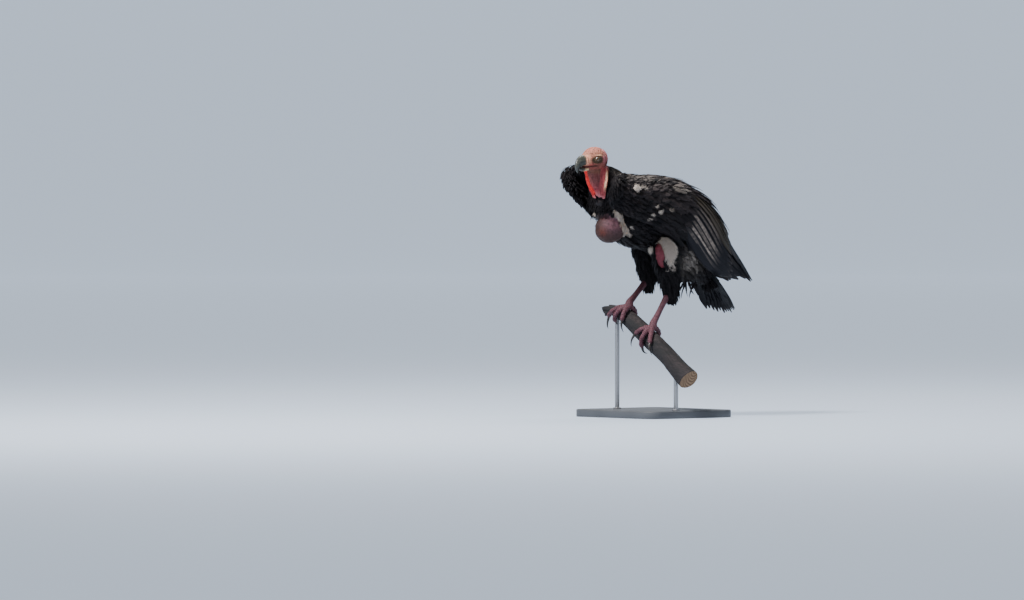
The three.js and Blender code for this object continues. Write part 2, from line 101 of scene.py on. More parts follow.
class Shade:
    """A shader socket that takes part in arithmetic. Every operation adds a Math node."""

    tree = None

    def __init__(self, socket):
        self.socket = socket

    @classmethod
    def put(cls, value, socket):
        """Feeds a socket from a node, or sets it. A colour of three numbers is opaque."""
        if isinstance(value, Shade):
            value = value.socket
        if isinstance(value, bpy.types.NodeSocket):
            cls.tree.links.new(value, socket)
        else:
            socket.default_value = (*value, 1) if socket.type == "RGBA" and len(value) == 3 else value

    @classmethod
    def node(cls, kind, settings=None, **sockets):
        """A node with its settings and its inputs, which go by name or, as n0, n1 and so on, by number."""
        made = cls.tree.nodes.new(kind)
        for key, value in (settings or {}).items():
            setattr(made, key, value)
        for key, value in sockets.items():
            by_number = key[0] == "n" and key[1:].isdigit()
            cls.put(value, made.inputs[int(key[1:]) if by_number else key.replace("_", " ")])
        return made

    def maths(self, operation, other=0.0):
        made = self.node("ShaderNodeMath", {"operation": operation}, n0=self, n1=other)
        return Shade(made.outputs[0])

    def __add__(self, other):
        return self.maths("ADD", other)

    __radd__ = __add__

    def __mul__(self, other):
        return self.maths("MULTIPLY", other)

    __rmul__ = __mul__

    def __sub__(self, other):
        return self.maths("SUBTRACT", other)

    def __rsub__(self, other):
        return Shade(self.node("ShaderNodeMath", {"operation": "SUBTRACT"}, n0=other, n1=self).outputs[0])

    def between(self, low, high):
        """0 at low, 1 at high, smooth in between."""
        smooth = {"interpolation_type": "SMOOTHSTEP"}
        made = self.node("ShaderNodeMapRange", smooth, Value=self, From_Min=low, From_Max=high)
        return Shade(made.outputs[0])


def finish_material(name, make, **constants):
    """A material whose varying values come from make(), and whose other values are constants."""
    material = bpy.data.materials.new(name)
    material.use_nodes = True
    Shade.tree = material.node_tree
    shader = Shade.tree.nodes["Principled BSDF"]
    for key, value in (constants | make()).items():
        Shade.put(value, shader.inputs[key.replace("_", " ")])
    return material


def floor_paint():
    """Pale blue-grey, lit a little from behind like a studio cyclorama."""
    return {"Base_Color": (0.3, 0.34, 0.4), "Roughness": 0.9}


# The floor goes on behind the camera, so that one as far off on any side stands inside the sweep.
floor_reach = camera_back + 5000
floor_span = camera_back + 25000
floor_bend = 2500.0
wall_height = 12000.0
sweep = [(-floor_span, 0), (-floor_reach, 0), (0, 0), (floor_reach - floor_bend, 0)]
sweep += [
    (floor_reach + floor_bend * (math.sin(a) - 1), floor_bend * (1 - math.cos(a)))
    for a in np.linspace(0, math.pi / 2, 17)[1:]
]
sweep.append((floor_reach, wall_height))
floor_points = [
    backwards * depth + rightwards * side * floor_span + (0, 0, height - PERCH_HEIGHT)
    for depth, height in sweep
    for side in (-1, 1)
]
floor_mesh = bpy.data.meshes.new("floor")
floor_faces = [(2 * i, 2 * i + 1, 2 * i + 3, 2 * i + 2) for i in range(len(sweep) - 1)]
floor_mesh.from_pydata(metres(floor_points).tolist(), [], floor_faces)
floor_glow = {"Emission_Color": (0.5, 0.585, 0.71), "Emission_Strength": 1.0}
floor = keep("floor", floor_mesh, finish_material("floor paint", floor_paint, **floor_glow))
lamp_distance = 4.0
lamps_middle = Vector(metres((0, 40, 200)))
for name, turn, rise, power, size in (
    ("key_lamp", 4, 50, 340, 0.8),
    ("fill_lamp", 95, 35, 22, 3.0),
    ("back_lamp", 215, 60, 90, 2.0),
):
    lamp_data = bpy.data.lights.new(name, "AREA")
    lamp_data.energy = power
    lamp_data.size = size
    lamp = keep(name, lamp_data)
    a, e = math.radians(turn), math.radians(rise)
    away = Vector((math.sin(a) * math.cos(e), -math.cos(a) * math.cos(e), math.sin(e)))
    lamp.location = lamps_middle + lamp_distance * away
    lamp.rotation_euler = (-away).to_track_quat("-Z", "Y").to_euler()
world = bpy.data.worlds.new("studio")
world.use_nodes = True
sky = world.node_tree.nodes["Background"]
sky.inputs["Color"].default_value = (0.72, 0.78, 0.86, 1)
sky.inputs["Strength"].default_value = 0.22
bpy.context.scene.world = world

# ------------------------------------------------------------------ skin
# One seamless body of flesh from the wrinkled bare head down to the toes. It carries every feather, so it
# lies under the plumage by the coat's depth. It comes to the surface only where it is bare: on the head, the
# lappets, the crop, a patch of the left thigh and the legs.


def through(values, share):
    """A smooth curve through evenly spaced values, at each share of its length."""
    values = np.asarray(values, float)
    values = np.concatenate([[2 * values[0] - values[1]], values, [2 * values[-1] - values[-2]]])
    place = np.clip(share, 0, 1) * (len(values) - 3)
    start = np.minimum(place.astype(int), len(values) - 4)
    t = place - start
    if values.ndim > 1:
        t = t[..., None]
    p0, p1, p2, p3 = (values[start + k] for k in range(4))
    return p1 + t / 2 * (p2 - p0 + t * (2 * p0 - 5 * p1 + 4 * p2 - p3 + t * (3 * (p1 - p2) + p3 - p0)))


def unit(vectors):
    return vectors / np.maximum(np.linalg.norm(vectors, axis=-1, keepdims=True), 1e-9)


def bell(value, width):
    return np.exp(-((np.asarray(value) / width) ** 2))


def ramp(value, low, high):
    """0 at low, 1 at high, smooth in between."""
    t = np.clip((np.asarray(value, float) - low) / (high - low), 0, 1)
    return t * t * (3 - 2 * t)


UP = np.array((0.0, 0.0, 1.0))
AHEAD = np.array((0.0, -1.0, 0.0))
LEFTWARD = np.array((1.0, 0.0, 0.0))


class Limb:
    """A rounded body part. Keys: x, y, z, half-width, half-depth towards facing and away from it."""

    def __init__(self, facing, *keys):
        self.keys = np.array(keys, float)
        self.facing = facing

    def __call__(self, share, angle, inset=0.0):
        share, angle = np.broadcast_arrays(np.asarray(share, float), np.asarray(angle, float))
        here = through(self.keys, share)
        along = unit(through(self.keys[:, :3], share + 1e-3) - through(self.keys[:, :3], share - 1e-3))
        deep = unit(self.facing - (along @ self.facing)[..., None] * along)
        wide = np.cross(deep, along)
        depth = np.where(np.sin(angle) > 0, here[..., 4], here[..., 5]) - inset
        return (
            here[..., :3]
            + wide * (np.cos(angle) * (here[..., 3] - inset))[..., None]
            + deep * (np.sin(angle) * depth)[..., None]
        )

    def mesh(self, rings, sides, inset=0.0):
        """The closed limb as points and faces."""
        share = np.repeat(np.linspace(0, 1, rings + 1), sides)
        angle = np.tile(np.arange(sides) * 2 * math.pi / sides, rings + 1)
        return tube_faces(self(share, angle, inset).reshape(rings + 1, sides, 3))


def tube_faces(rings):
    """Points and faces of a closed body skinned over rings of points."""
    count, sides = rings.shape[:2]
    faces = [
        (i * sides + j, i * sides + (j + 1) % sides, (i + 1) * sides + (j + 1) % sides, (i + 1) * sides + j)
        for i in range(count - 1)
        for j in range(sides)
    ]
    faces.append(tuple(range(sides))[::-1])
    faces.append(tuple(range((count - 1) * sides, count * sides)))
    return rings.reshape(-1, 3), faces


def mesh_of(name, parts, in_metres=True):
    """One mesh of several bodies, each points and faces, with its faces turned outwards."""
    points = np.concatenate([part[0] for part in parts])
    offsets = np.cumsum([0] + [len(part[0]) for part in parts])
    faces = [tuple(v + offset for v in face) for part, offset in zip(parts, offsets) for face in part[1]]
    made = bpy.data.meshes.new(name)
    made.from_pydata((metres(points) if in_metres else points).tolist(), [], faces)
    shell = bmesh.new()
    shell.from_mesh(made)
    bmesh.ops.recalc_face_normals(shell, faces=shell.faces)
    shell.to_mesh(made)
    shell.free()
    return made


def evaluated(thing, name):
    """The plain mesh that an object's modifiers make. The object is removed."""
    depsgraph = bpy.context.evaluated_depsgraph_get()
    made = bpy.data.meshes.new_from_object(
        thing.evaluated_get(depsgraph), preserve_all_data_layers=True, depsgraph=depsgraph
    )
    made.name = name
    bpy.data.objects.remove(thing)
    return made


def grown_together(parts, grain, rounding):
    """The points, in millimetres, and faces of several bodies fused into one, with a grid of that grain."""
    thing = keep("clay", mesh_of("clay", parts))
    remesh = thing.modifiers.new("fuse", "REMESH")
    remesh.mode = "VOXEL"
    remesh.voxel_size = grain * 0.001
    soften = thing.modifiers.new("soften", "SMOOTH")
    soften.factor = 0.5
    soften.iterations = rounding
    made = evaluated(thing, "fused")
    points = np.empty(len(made.vertices) * 3)
    made.vertices.foreach_get("co", points)
    faces = [tuple(face.vertices) for face in made.polygons]
    bpy.data.meshes.remove(made)
    return points.reshape(-1, 3) * 1000 - (0, 0, PERCH_HEIGHT), faces


trunk = Limb(
    UP,
    (0, -150, 312, 20, 14, 20),
    (0, -128, 306, 56, 42, 48),
    (0, -76, 296, 80, 74, 88),
    (0, -8, 274, 87, 104, 94),
    (0, 62, 243, 87, 118, 76),
    (0, 128, 204, 80, 116, 80),
    (0, 182, 164, 62, 80, 88),
    (0, 218, 126, 40, 34, 48),
    (0, 236, 104, 12, 8, 18),
)
crop = Limb(
    UP,
    (6, -74, 262, 14, 14, 14),
    (6, -88, 254, 33, 33, 33),
    (6, -108, 242, 40, 40, 40),
    (6, -130, 229, 35, 35, 35),
    (6, -145, 220, 20, 20, 20),
    (6, -149, 217, 6, 6, 6),
)
neck = Limb(
    AHEAD,
    (0, -84, 296, 30, 34, 30),
    (0, -112, 322, 28, 32, 28),
    (2, -130, 350, 26, 27, 26),
    (6, -144, 380, 26, 25, 26),
    (10, -158, 402, 22, 20, 22),
)
SIDES = {"left": 1, "right": -1}
joints = {  # hip, knee, hock and the tip of the feathers behind it
    "left": np.array(((60, 28, 214), (68, 20, 182), (45, 59, 70), (49, 70, 40)), float),
    "right": np.array(((-54, 50, 224), (-56, 60, 184), (-50, 65, 101), (-53, 74, 66)), float),
}


def thigh(name):
    hip, knee, hock, tuft = joints[name]
    return Limb(
        AHEAD,
        (*hip, 28, 34, 40),
        (*knee, 33, 36, 46),
        (*(0.6 * knee + 0.4 * hock), 30, 32, 40),
        (*(0.25 * knee + 0.75 * hock + (0, 4, 0)), 25, 26, 37),
        (*(0.7 * hock + 0.3 * tuft), 18, 19, 22),
        (*tuft, 7, 7, 10),
    )


thighs = {name: thigh(name) for name in SIDES}


class Wing:
    """The folded wing's outer shell: s runs from the wrist to the tip, t up from the lower edge."""

    spine_y = (-182, -100, -12, 76, 166, 254, 353)
    spine_z = (350, 324, 295, 258, 210, 154, 88)
    half_width = (117, 122, 118, 110, 92, 72, 50)
    above = (50, 66, 94, 115, 106, 70, 34)
    below = (56, 76, 88, 92, 88, 62, 26)
    low_edge = (-62, -50, -36, -32, -44, -50, -35)
    high_edge = (62, 70, 80, 86, 86, 70, 40)
    thickness = (42, 36, 27, 18, 12, 8, 5)
    flatness = 0.72
    lift = {"left": 3, "right": 39}

    def __init__(self, name):
        self.name = name
        self.side = SIDES[name]

    def __call__(self, s, t, depth=0.0):
        s, t, depth = np.broadcast_arrays(*(np.asarray(v, float) for v in (s, t, depth)))
        spines = (self.spine_y, self.spine_z)
        steps = [through(spine, s + 0.01) - through(spine, s - 0.01) for spine in spines]
        run = unit(np.stack([np.zeros_like(s), *steps], -1))
        dorsal = np.stack([np.zeros_like(s), -run[..., 2], run[..., 1]], -1)
        low, high = through(self.low_edge, s), through(self.high_edge, s)
        angle = np.radians(low + (high - low) * t)
        tall = np.where(np.sin(angle) > 0, through(self.above, s), through(self.below, s))
        wide = through(self.half_width, s)
        outwards = LEFTWARD * (self.side * np.cos(angle) / wide)[..., None]
        normal = unit(outwards + dorsal * (np.sin(angle) / tall)[..., None])
        centre = np.stack(
            [
                self.side * wide * np.maximum(np.cos(angle), 0) ** self.flatness,
                through(self.spine_y, s),
                through(self.spine_z, s) + self.lift[self.name] * np.maximum(0, 1 - 4.2 * s),
            ],
            -1,
        )
        return centre + dorsal * (tall * np.sin(angle))[..., None] - normal * depth[..., None]

    def arm(self, columns=14, rows=12):
        """The flesh of the arm: a thick sheet under the coverts, closed by its rim."""
        s = np.linspace(0.05, 0.5, columns + 1)[:, None]
        t = np.linspace(0.16, 0.88, rows + 1)[None, :]
        skins = [self(s, t, depth * np.ones_like(s * t)) for depth in (11, 30)]
        ring = np.concatenate([skins[0], skins[1][:, ::-1]], axis=1)
        return tube_faces(ring)


wings = {name: Wing(name) for name in SIDES}
ruff = Limb(  # from round the neck down over the breast
    AHEAD,
    (4, -148, 394, 32, 24, 34),
    (3, -141, 384, 46, 32, 46),
    (2, -128, 366, 72, 38, 56),
    (0, -112, 340, 92, 46, 60),
    (0, -104, 308, 94, 52, 62),
    (0, -104, 276, 76, 52, 54),
    (0, -100, 250, 52, 38, 46),
)
body_coat = 15.0  # depth of the plumage on the trunk
thigh_coat = 12.0
body_parts = [
    trunk.mesh(40, 40, body_coat),
    crop.mesh(16, 28, 0.6),
    neck.mesh(14, 28, 2.0),
    ruff.mesh(20, 32, 17.0),
    *(limb.mesh(24, 24, thigh_coat) for limb in thighs.values()),
    *(wing.arm() for wing in wings.values()),
]
body_grain = 3.9
body_points, body_faces = grown_together(body_parts, body_grain, 6)

# The head is drawn level and facing ahead, then turned to its left, tipped down and set on the neck.
head_place = np.array((12.0, -178.0, 416.0))
head_turn = Matrix.Rotation(math.radians(18), 3, "Z") @ Matrix.Rotation(math.radians(5), 3, "X")
head_axes = np.array(head_turn)


def on_head(points):
    return np.asarray(points, float) @ head_axes.T + head_place


def off_head(points):
    return (points - head_place) @ head_axes


skull = Limb(
    UP,
    (0, 47, 2, 6, 8, 8),
    (0, 38, 3, 22, 24, 23),
    (0, 22, 3, 31, 32, 30),
    (0, 4, 3, 32.5, 34.5, 31),
    (0, -12, 3, 28, 31, 29),
    (0, -27, 2, 20, 24, 25),
    (0, -40, 1, 14, 20, 19),
    (0, -48, 1, 12, 17.5, 16),
    (0, -52, 1, 10, 14, 12),
)
lappet_roots = {"left": (37, -153, 401), "right": (-26, -168, 403)}
lappet_tips = {"left": (26, -152, 317), "right": (-2, -158, 318)}
lappet_facing = {"left": (0.45, -0.9, 0), "right": (0.1, -1, 0)}


def lappet(name):
    """A flat fold of skin that hangs beside the throat, wide at the jaw, with a thick wavy outer edge."""
    side = SIDES[name]
    normal = unit(np.array(lappet_facing[name], float))
    across = np.cross(UP, normal) * side
    rings = []
    root, tip = (np.array(ends[name], float) for ends in (lappet_roots, lappet_tips))
    for share in np.linspace(0, 1, 26):
        middle = (1 - share) * root + share * tip
        middle = middle + np.array((side * 2.5, -5, 0)) * math.sin(share * math.pi)
        middle = middle - across * side * 1.5 * math.sin(9 * share)
        half = float(through((2.5, 8, 8.8, 8, 7, 4.5), share))
        thick = float(through((2.2, 3.2, 2.8, 2.6, 2.4, 1.6), share))
        angle = np.arange(18) * 2 * math.pi / 18
        outer = np.cos(angle)
        bulge = 1 + 0.5 * ramp(outer, 0.5, 1) + 0.25 * np.sin(14 * share) * ramp(outer, 0.2, 1)
        wave = thick * bulge * np.sin(angle) + 1.2 * np.sin(11 * share + 2 * outer)
        rings.append(middle + across * (half * outer)[:, None] + normal * wave[:, None])
    return tube_faces(np.array(rings))


throat = Limb(
    AHEAD,
    (5, -160, 406, 29, 20, 22),
    (2, -158, 388, 32, 20, 26),
    (3, -156, 366, 29, 18, 26),
    (7, -153, 346, 24, 13, 24),
    (10, -152, 331, 17, 8, 19),
    (11, -147, 323, 9, 4, 11),
)
skull_points, skull_faces = skull.mesh(40, 40, 0.5)
head_parts = [
    (on_head(skull_points), skull_faces),
    Limb(AHEAD, *neck.keys[2:]).mesh(16, 30, 1.5),
    throat.mesh(24, 26),
    *(lappet(name) for name in SIDES),
]
head_grain = 1.18
head_points, head_faces = grown_together(head_parts, head_grain, 7)

eye_radius = 8.6
eye_middle = np.array((22.5, -13.0, 6.0))  # on the left side, in the head's own frame
eye_axis = unit(np.array((0.9, -0.42, 0.06)))
eye_forward = unit(np.cross(eye_axis, UP))
eye_upward = unit(np.cross(np.cross(eye_axis, UP), eye_axis))


def wrinkle(points, size, stretch=(1, 1, 1), seed=0.0):
    """Smooth noise from about -1 to 1 at each point."""
    scaled = points / (np.array(stretch) * size) + seed
    return np.array([lattice.noise(Vector(point)) for point in scaled])


def vertex_normals(points, faces):
    corners = points[np.array([face[:4] if len(face) > 3 else (*face, face[-1]) for face in faces])]
    flat = np.cross(corners[:, 2] - corners[:, 0], corners[:, 3] - corners[:, 1])
    normals = np.zeros_like(points)
    for k in range(4):
        np.add.at(normals, [face[min(k, len(face) - 1)] for face in faces], flat)
    return unit(normals)


def shaped_head(points, faces):
    """Sockets, lids, brow, gape, nostrils, ears and folds, and how far each point was pushed for them."""
    local = off_head(points)
    normals = vertex_normals(points, faces) @ head_axes
    x, y, z = local.T
    on_skull = ramp(y, 52, 40) * ramp(z, -34, -27)
    push = np.zeros(len(points))

    # Soft folds run across the crown and nape. They are close under the eye and behind the gape.
    folds = 1 - 3.2 * np.abs(wrinkle(local, 7.0, (1.9, 0.6, 0.8)))
    fine = 1 - 3.0 * np.abs(wrinkle(local, 3.0, (1.7, 0.75, 1.0), 4.2))
    knobs = wrinkle(local, 4.4, seed=8.0)
    crown = on_skull * ramp(z, -6, 14)
    nape = ramp(y, 4, 30)
    push += on_skull * (0.5 * folds * (0.35 + 1.1 * nape + 0.45 * crown) + 0.34 * fine + 0.35 * knobs)

    below = ramp(z, -24, -34)
    pleats = np.sin(x / 1.35 + 1.3 * wrinkle(local, 9.0, seed=7.0))
    push += below * (0.5 * pleats + 0.8 * wrinkle(local, 5.0, (0.8, 1, 2.5), 2.0) + 0.4 * fine)

    gape_line = -9.5 - 0.05 * (y + 50) + 1.2 * bell(y + 18, 9)
    along_gape = ramp(y, -12, -22)
    push -= 1.6 * along_gape * bell(z - gape_line, 0.95)
    push += 0.55 * along_gape * (bell(z - gape_line - 2.4, 1.2) + bell(z - gape_line + 2.4, 1.2))

    for side in (1, -1):
        mirrored = local * (side, 1, 1)
        away = mirrored - eye_middle
        along = away @ eye_axis
        flat = away - along[:, None] * eye_axis
        ahead, above = flat @ eye_forward, flat @ eye_upward
        near = ramp(along, 0, 3)
        distance = np.hypot(ahead / 1.12, (above + 0.12 * ahead) / 0.9)
        socket = near * bell(distance - 10.5, 4.0) * ramp(above, 9, 2)
        push -= 1.7 * socket
        brow = near * bell(above - 9.6 - 0.12 * ahead, 2.6) * bell(ahead + 1, 12)
        push += 2.9 * brow
        push += 0.5 * near * (bell(distance - 9.3, 0.6) + bell(distance - 11.6, 0.7))
        cheek = near * bell(above + 15, 5) * bell(ahead + 3, 12)
        push += 1.1 * cheek
        ear = mirrored - (33, 15, -4)
        hollow = np.hypot(ear[:, 1], ear[:, 2] / 1.25)
        at_ear = ramp(mirrored[:, 0], 15, 22)
        push += at_ear * (-3.2 * bell(hollow, 2.3) + 1.0 * bell(hollow - 4.3, 1.4))
        nostril = mirrored - (12, -43.5, 5.5)
        slit = np.hypot(nostril[:, 1] / 1.1, (nostril[:, 2] - 0.4 * nostril[:, 1]) / 2.1)
        at_cere = ramp(mirrored[:, 0], 5, 8)
        push += at_cere * (-2.6 * bell(slit, 1.0) + 0.8 * bell(slit - 2.2, 1.0))
    cere = bell(y + 44, 6.5) * ramp(z, -9, -4)
    push += 1.3 * cere
    moved = local + normals * push[:, None]

    for side in (1, -1):
        mirrored = moved * (side, 1, 1)
        away = mirrored - eye_middle
        along = away @ eye_axis
        ahead, above = away @ eye_forward, away @ eye_upward
        spread = np.hypot(ahead, above)
        opening = np.hypot(ahead / 1.2, (above + 0.1 * ahead + 0.4) / 0.86)
        ball = np.sqrt(np.maximum((eye_radius + 0.3) ** 2 - spread**2, 1.0))
        inside = np.sqrt(np.maximum((eye_radius - 1.4) ** 2 - spread**2, 0.5))
        lid = ball + 1.0 * bell(opening - 6.0, 1.2) + 0.3
        target = np.where(opening < 5.0, inside, lid)
        hold = ramp(opening, 9.0, 6.6) * ramp(along, -1, 3)
        moved += hold[:, None] * (target - along)[:, None] * (eye_axis * (side, 1, 1))
    return on_head(moved), push


head_points, head_relief = shaped_head(head_points, head_faces)

# The feet grip the branch, so their toes are laid out round its axis.
branch_slope = math.radians(33)
branch_run = np.array((math.cos(branch_slope), 0, -math.sin(branch_slope)))
branch_top = np.cross(AHEAD, branch_run)
branch_ends = (-128.0, 205.0)
branch_radii = (15, 19, 22, 23.5, 24.5, 25.5, 26.5, 28)


def branch_share(x):
    return (np.asarray(x, float) - branch_ends[0]) / (branch_ends[1] - branch_ends[0])


def branch_axis(x):
    x = np.asarray(x, float)
    fall = -26 - x * math.tan(branch_slope) - 0.0046 * np.minimum(0, x + 36) ** 2
    return np.stack([x, -8 + 3 * np.sin(x / 47), fall], -1)


def on_branch(x, turn, rise):
    outwards = AHEAD * np.sin(turn)[..., None] + branch_top * np.cos(turn)[..., None]
    return branch_axis(x) + outwards * (through(branch_radii, branch_share(x)) + rise)[..., None]


toe_radius = 6.5
scute_length = 4.6
leg_grain = 1.25
foot_along = {"left": 37.0, "right": -52.0}
toes = {  # heading from straight ahead in degrees, length, and whether the claw hangs
    "left": ((10, 74, False), (46, 58, False), (-22, 52, True), (174, 40, False)),
    "right": ((-10, 72, False), (-36, 74, True), (28, 52, False), (168, 40, False)),
}


def toe_path(foot_x, heading, length, share):
    share = np.asarray(share, float)
    angle = math.radians(heading)
    x = np.maximum(branch_ends[0], foot_x + math.sin(angle) * length * share * math.cos(branch_slope))
    turn = math.cos(angle) * length * share / (through(branch_radii, branch_share(x)) + toe_radius)
    return on_branch(x, turn, toe_radius)


def bare_leg(name):
    """The fused shank and toes, with scutes in front and fine scales behind."""
    hock = joints[name][2]
    foot = on_branch(np.array(foot_along[name]), np.array(0.0), toe_radius)
    ankle = foot + (0, 3, 13)
    shank = Limb(
        AHEAD,
        (*(hock + (0, 6, 18)), 9, 9, 9),
        (*hock, 9.5, 9.5, 10.5),
        (*(0.72 * hock + 0.28 * ankle), 7.4, 7.8, 8.4),
        (*(0.45 * hock + 0.55 * ankle), 6.8, 7.2, 7.8),
        (*(0.2 * hock + 0.8 * ankle), 7.4, 7.8, 8.6),
        (*ankle, 9.4, 9.6, 10),
        (*(foot + (0, 1, 3)), 12, 12.5, 11.5),
        (*(foot + (0, 0, -3)), 10.5, 11, 11),
    )
    parts = [shank.mesh(60, 28)]
    lines = [(shank.keys[1:7, :3], AHEAD)]
    for heading, length, _ in toes[name]:
        share = np.linspace(0, 1, 9)
        path = toe_path(foot_along[name], heading, length, share)
        wide = toe_radius * through((1.3, 1.08, 0.98, 1.14, 0.92, 1.06, 0.88, 1.0, 0.72), share)
        parts.append(Limb(branch_run, *np.column_stack([path, wide, wide * 0.95, wide * 0.95])).mesh(40, 16))
        lines.append((path, None))
    points, faces = grown_together(parts, leg_grain, 4)
    normals = vertex_normals(points, faces)
    tree = kdtree.KDTree(sum(60 for _ in lines))
    along, fronts = [], []
    for line, front in lines:
        samples = through(line, np.linspace(0, 1, 60))
        steps = np.concatenate([[0], np.cumsum(np.linalg.norm(np.diff(samples, axis=0), axis=1))])
        for sample, step in zip(samples, steps):
            tree.insert(Vector(sample), len(along))
            along.append(step)
            fronts.append(front if front is not None else unit(sample - branch_axis(sample[0])))
    tree.balance()
    nearest = np.array([tree.find(Vector(point))[1] for point in points])
    reach = np.array(along)[nearest]
    faced = np.einsum("ij,ij->i", normals, np.array(fronts)[nearest])
    plates = np.abs(np.sin(math.pi * reach / scute_length)) ** 0.45
    front = ramp(faced, 0.15, 0.6)
    grains = 1 - 2 * np.abs(wrinkle(points, 2.6))
    points = points + normals * (front * (0.5 * plates - 0.3) + (1 - front) * 0.28 * grains)[:, None]
    return points, faces, np.column_stack([reach, front])


legs = {name: bare_leg(name) for name in SIDES}


def srgb(red, green, blue):
    """A colour named by its screen values, in linear light."""
    values = np.array((red, green, blue)) / 255
    linear = np.where(values < 0.04045, values / 12.92, ((values + 0.055) / 1.055) ** 2.4)
    return tuple(float(value) for value in linear)


def tinted(points, layers, ground):
    """A colour for each point: the ground, then each layer's colour over it by its mask."""
    colours = np.tile(np.array(ground), (len(points), 1))
    for mask, colour in layers:
        colours += np.clip(mask, 0, 1)[:, None] * (np.array(colour) - colours)
    return colours


# The marks of skin and coat: where the white down shows, and the bare patch of the left thigh.


def side_view(points):
    """Places as they lie in the plane that the left front of the bird faces, across it and up."""
    across = points[..., 0] * math.cos(camera_turn) + points[..., 1] * math.sin(camera_turn)
    return np.stack([across, points[..., 2]], -1)


def in_bare_patch(points):
    """1 on the narrow bare stripe down the outer side of the left thigh."""
    across, high = np.moveaxis(side_view(points), -1, 0)
    middle = 51 + 0.16 * (167 - high)
    return ramp(np.hypot((across - middle) / 11.0, (high - 167) / 33.0), 1.1, 0.8) * (points[..., 0] > 58)


def in_white_down(points):
    across, high = np.moveaxis(side_view(points), -1, 0)
    near = np.hypot((across - 72 - 0.4 * (185 - high)) / 24.0, (high - 184) / 33.0)
    ragged = 0.12 * np.sin(0.35 * high + 0.2 * across) + 0.1 * np.sin(0.6 * across - 0.25 * high)
    return ramp(near + ragged, 1.1, 0.8) * (points[..., 0] > 58)


crop_band = np.array(((-66, 284), (-55, 264), (-45, 242), (-38, 222)), float)  # in the side view


def in_crop_band(points):
    """1 on the strip of down that borders the left side of the crop."""
    line = through(crop_band, np.linspace(0, 1, 16))
    apart = np.linalg.norm(side_view(points)[..., None, :] - line, axis=-1).min(axis=-1)
    ragged = 1.6 * np.sin(0.5 * points[..., 2]) + 1.2 * np.sin(0.9 * points[..., 1] + 0.3 * points[..., 2])
    return ramp(apart + ragged, 8.5, 5) * (points[..., 1] < -60) * (points[..., 0] > 6)


local = off_head(head_points)
x, y, z = local.T
mottle = 0.5 + 0.5 * wrinkle(head_points, 7.0, seed=3.0)
veins = 0.5 + 0.5 * wrinkle(head_points, 2.2, seed=9.0)
skin_black = srgb(16, 14, 17)
blots = 0.5 + 0.5 * wrinkle(head_points, 3.6, seed=6.0)
from_eye = np.column_stack([np.abs(x), y, z]) - eye_middle
ahead, above = from_eye @ eye_forward, from_eye @ eye_upward
crown = ramp(z, 4, 16) * ramp(y, 50, 10)
orbit = ramp(np.hypot((ahead - 2) / 20, (above + 1.5) / 10.5), 1.15, 0.7)
head_layers = [
    (mottle * 0.6, srgb(150, 90, 82)),
    (crown, srgb(186, 122, 100)),
    (ramp(z, 22, 33) * 0.5, srgb(214, 126, 112)),
    (ramp(blots, 0.45, 0.75) * (0.25 + 0.5 * crown), srgb(104, 64, 52)),
    (ramp(y, 6, 26) * ramp(z, -28, -10) * 0.85, srgb(224, 132, 138)),
    (bell(ahead + 21, 6) * bell(above + 1, 11) * 0.85, srgb(200, 122, 132)),
    (ramp(ahead, -21, -29) * bell(above + 14, 9) * 0.85, srgb(42, 28, 32)),
    (bell(ahead + 5, 17) * bell(above + 17, 7) * 0.8, srgb(168, 100, 88)),
    (ramp(ahead, 17, 25) * ramp(above, -17, -10) * ramp(above, 18, 10), srgb(240, 166, 136)),
    (bell(ahead - 26, 7) * bell(above + 13, 4.5) * 0.9, srgb(206, 92, 84)),
    (orbit * 0.95, srgb(104, 86, 62)),
    (orbit * ramp(veins, 0.35, 0.7) * 0.7, srgb(60, 46, 36)),
    (bell(above - 10.5 - 0.04 * ahead, 1.5) * bell(ahead + 7, 10) * 0.85, srgb(220, 180, 138)),
    (bell(z + 11, 2.6) * ramp(y, -4, -18) * 0.85, srgb(70, 40, 36)),
    (ramp(z, -15, -24) * 0.9 * ramp(y, 22, 2), srgb(116, 72, 56)),
    (ramp(z, -28, -38), srgb(134, 70, 66)),
    (ramp(z, -48, -80), srgb(150, 50, 60)),
    (veins * 0.45 * ramp(z, -30, -40), srgb(82, 34, 40)),
    (ramp(mottle, 0.4, 0.9) * 0.4 * ramp(z, -30, -40), srgb(150, 84, 84)),
    (ramp(z, -74, -96) * 0.8, srgb(212, 124, 128)),
]
head_tints = tinted(head_points, head_layers, srgb(164, 84, 76))
for name, colour, edge in (("right", srgb(180, 28, 24), 10), ("left", srgb(172, 74, 76), 13)):
    root, tip = (np.array(ends[name], float) for ends in (lappet_roots, lappet_tips))
    share = np.clip((head_points - root) @ (tip - root) / ((tip - root) @ (tip - root)), 0, 1)
    line = root + share[:, None] * (tip - root)
    off_line = np.linalg.norm(head_points - line - (0, -4, 0), axis=1)
    on_lappet = ramp(off_line, edge, edge - 4) * ramp(head_points[:, 2], 404, 394) * ramp(share, 1.0, 0.86)
    head_tints += on_lappet[:, None] * (np.array(colour) - head_tints)
    if name == "left":
        outer = on_lappet * ramp(head_points[:, 0] - line[:, 0], 3.5, 7) * ramp(share, 0.85, 0.55)
        head_tints += outer[:, None] * 0.95 * (np.array(srgb(250, 196, 158)) - head_tints)
# Painted shade: the skin is darkened where it was pushed in, in its creases, eye sockets, ear hollows,
# nostrils and gape.
head_tints += (ramp(head_relief, 0.0, -0.6) * 0.35)[:, None] * (head_tints * 0.35 - head_tints)

crop_near = ramp(np.linalg.norm((body_points - (6, -112, 240)) / (47, 56, 47), axis=1), 1.12, 0.98)
patch = in_bare_patch(body_points)
down_ground = in_white_down(body_points)
seen_across, seen_high = side_view(body_points).T


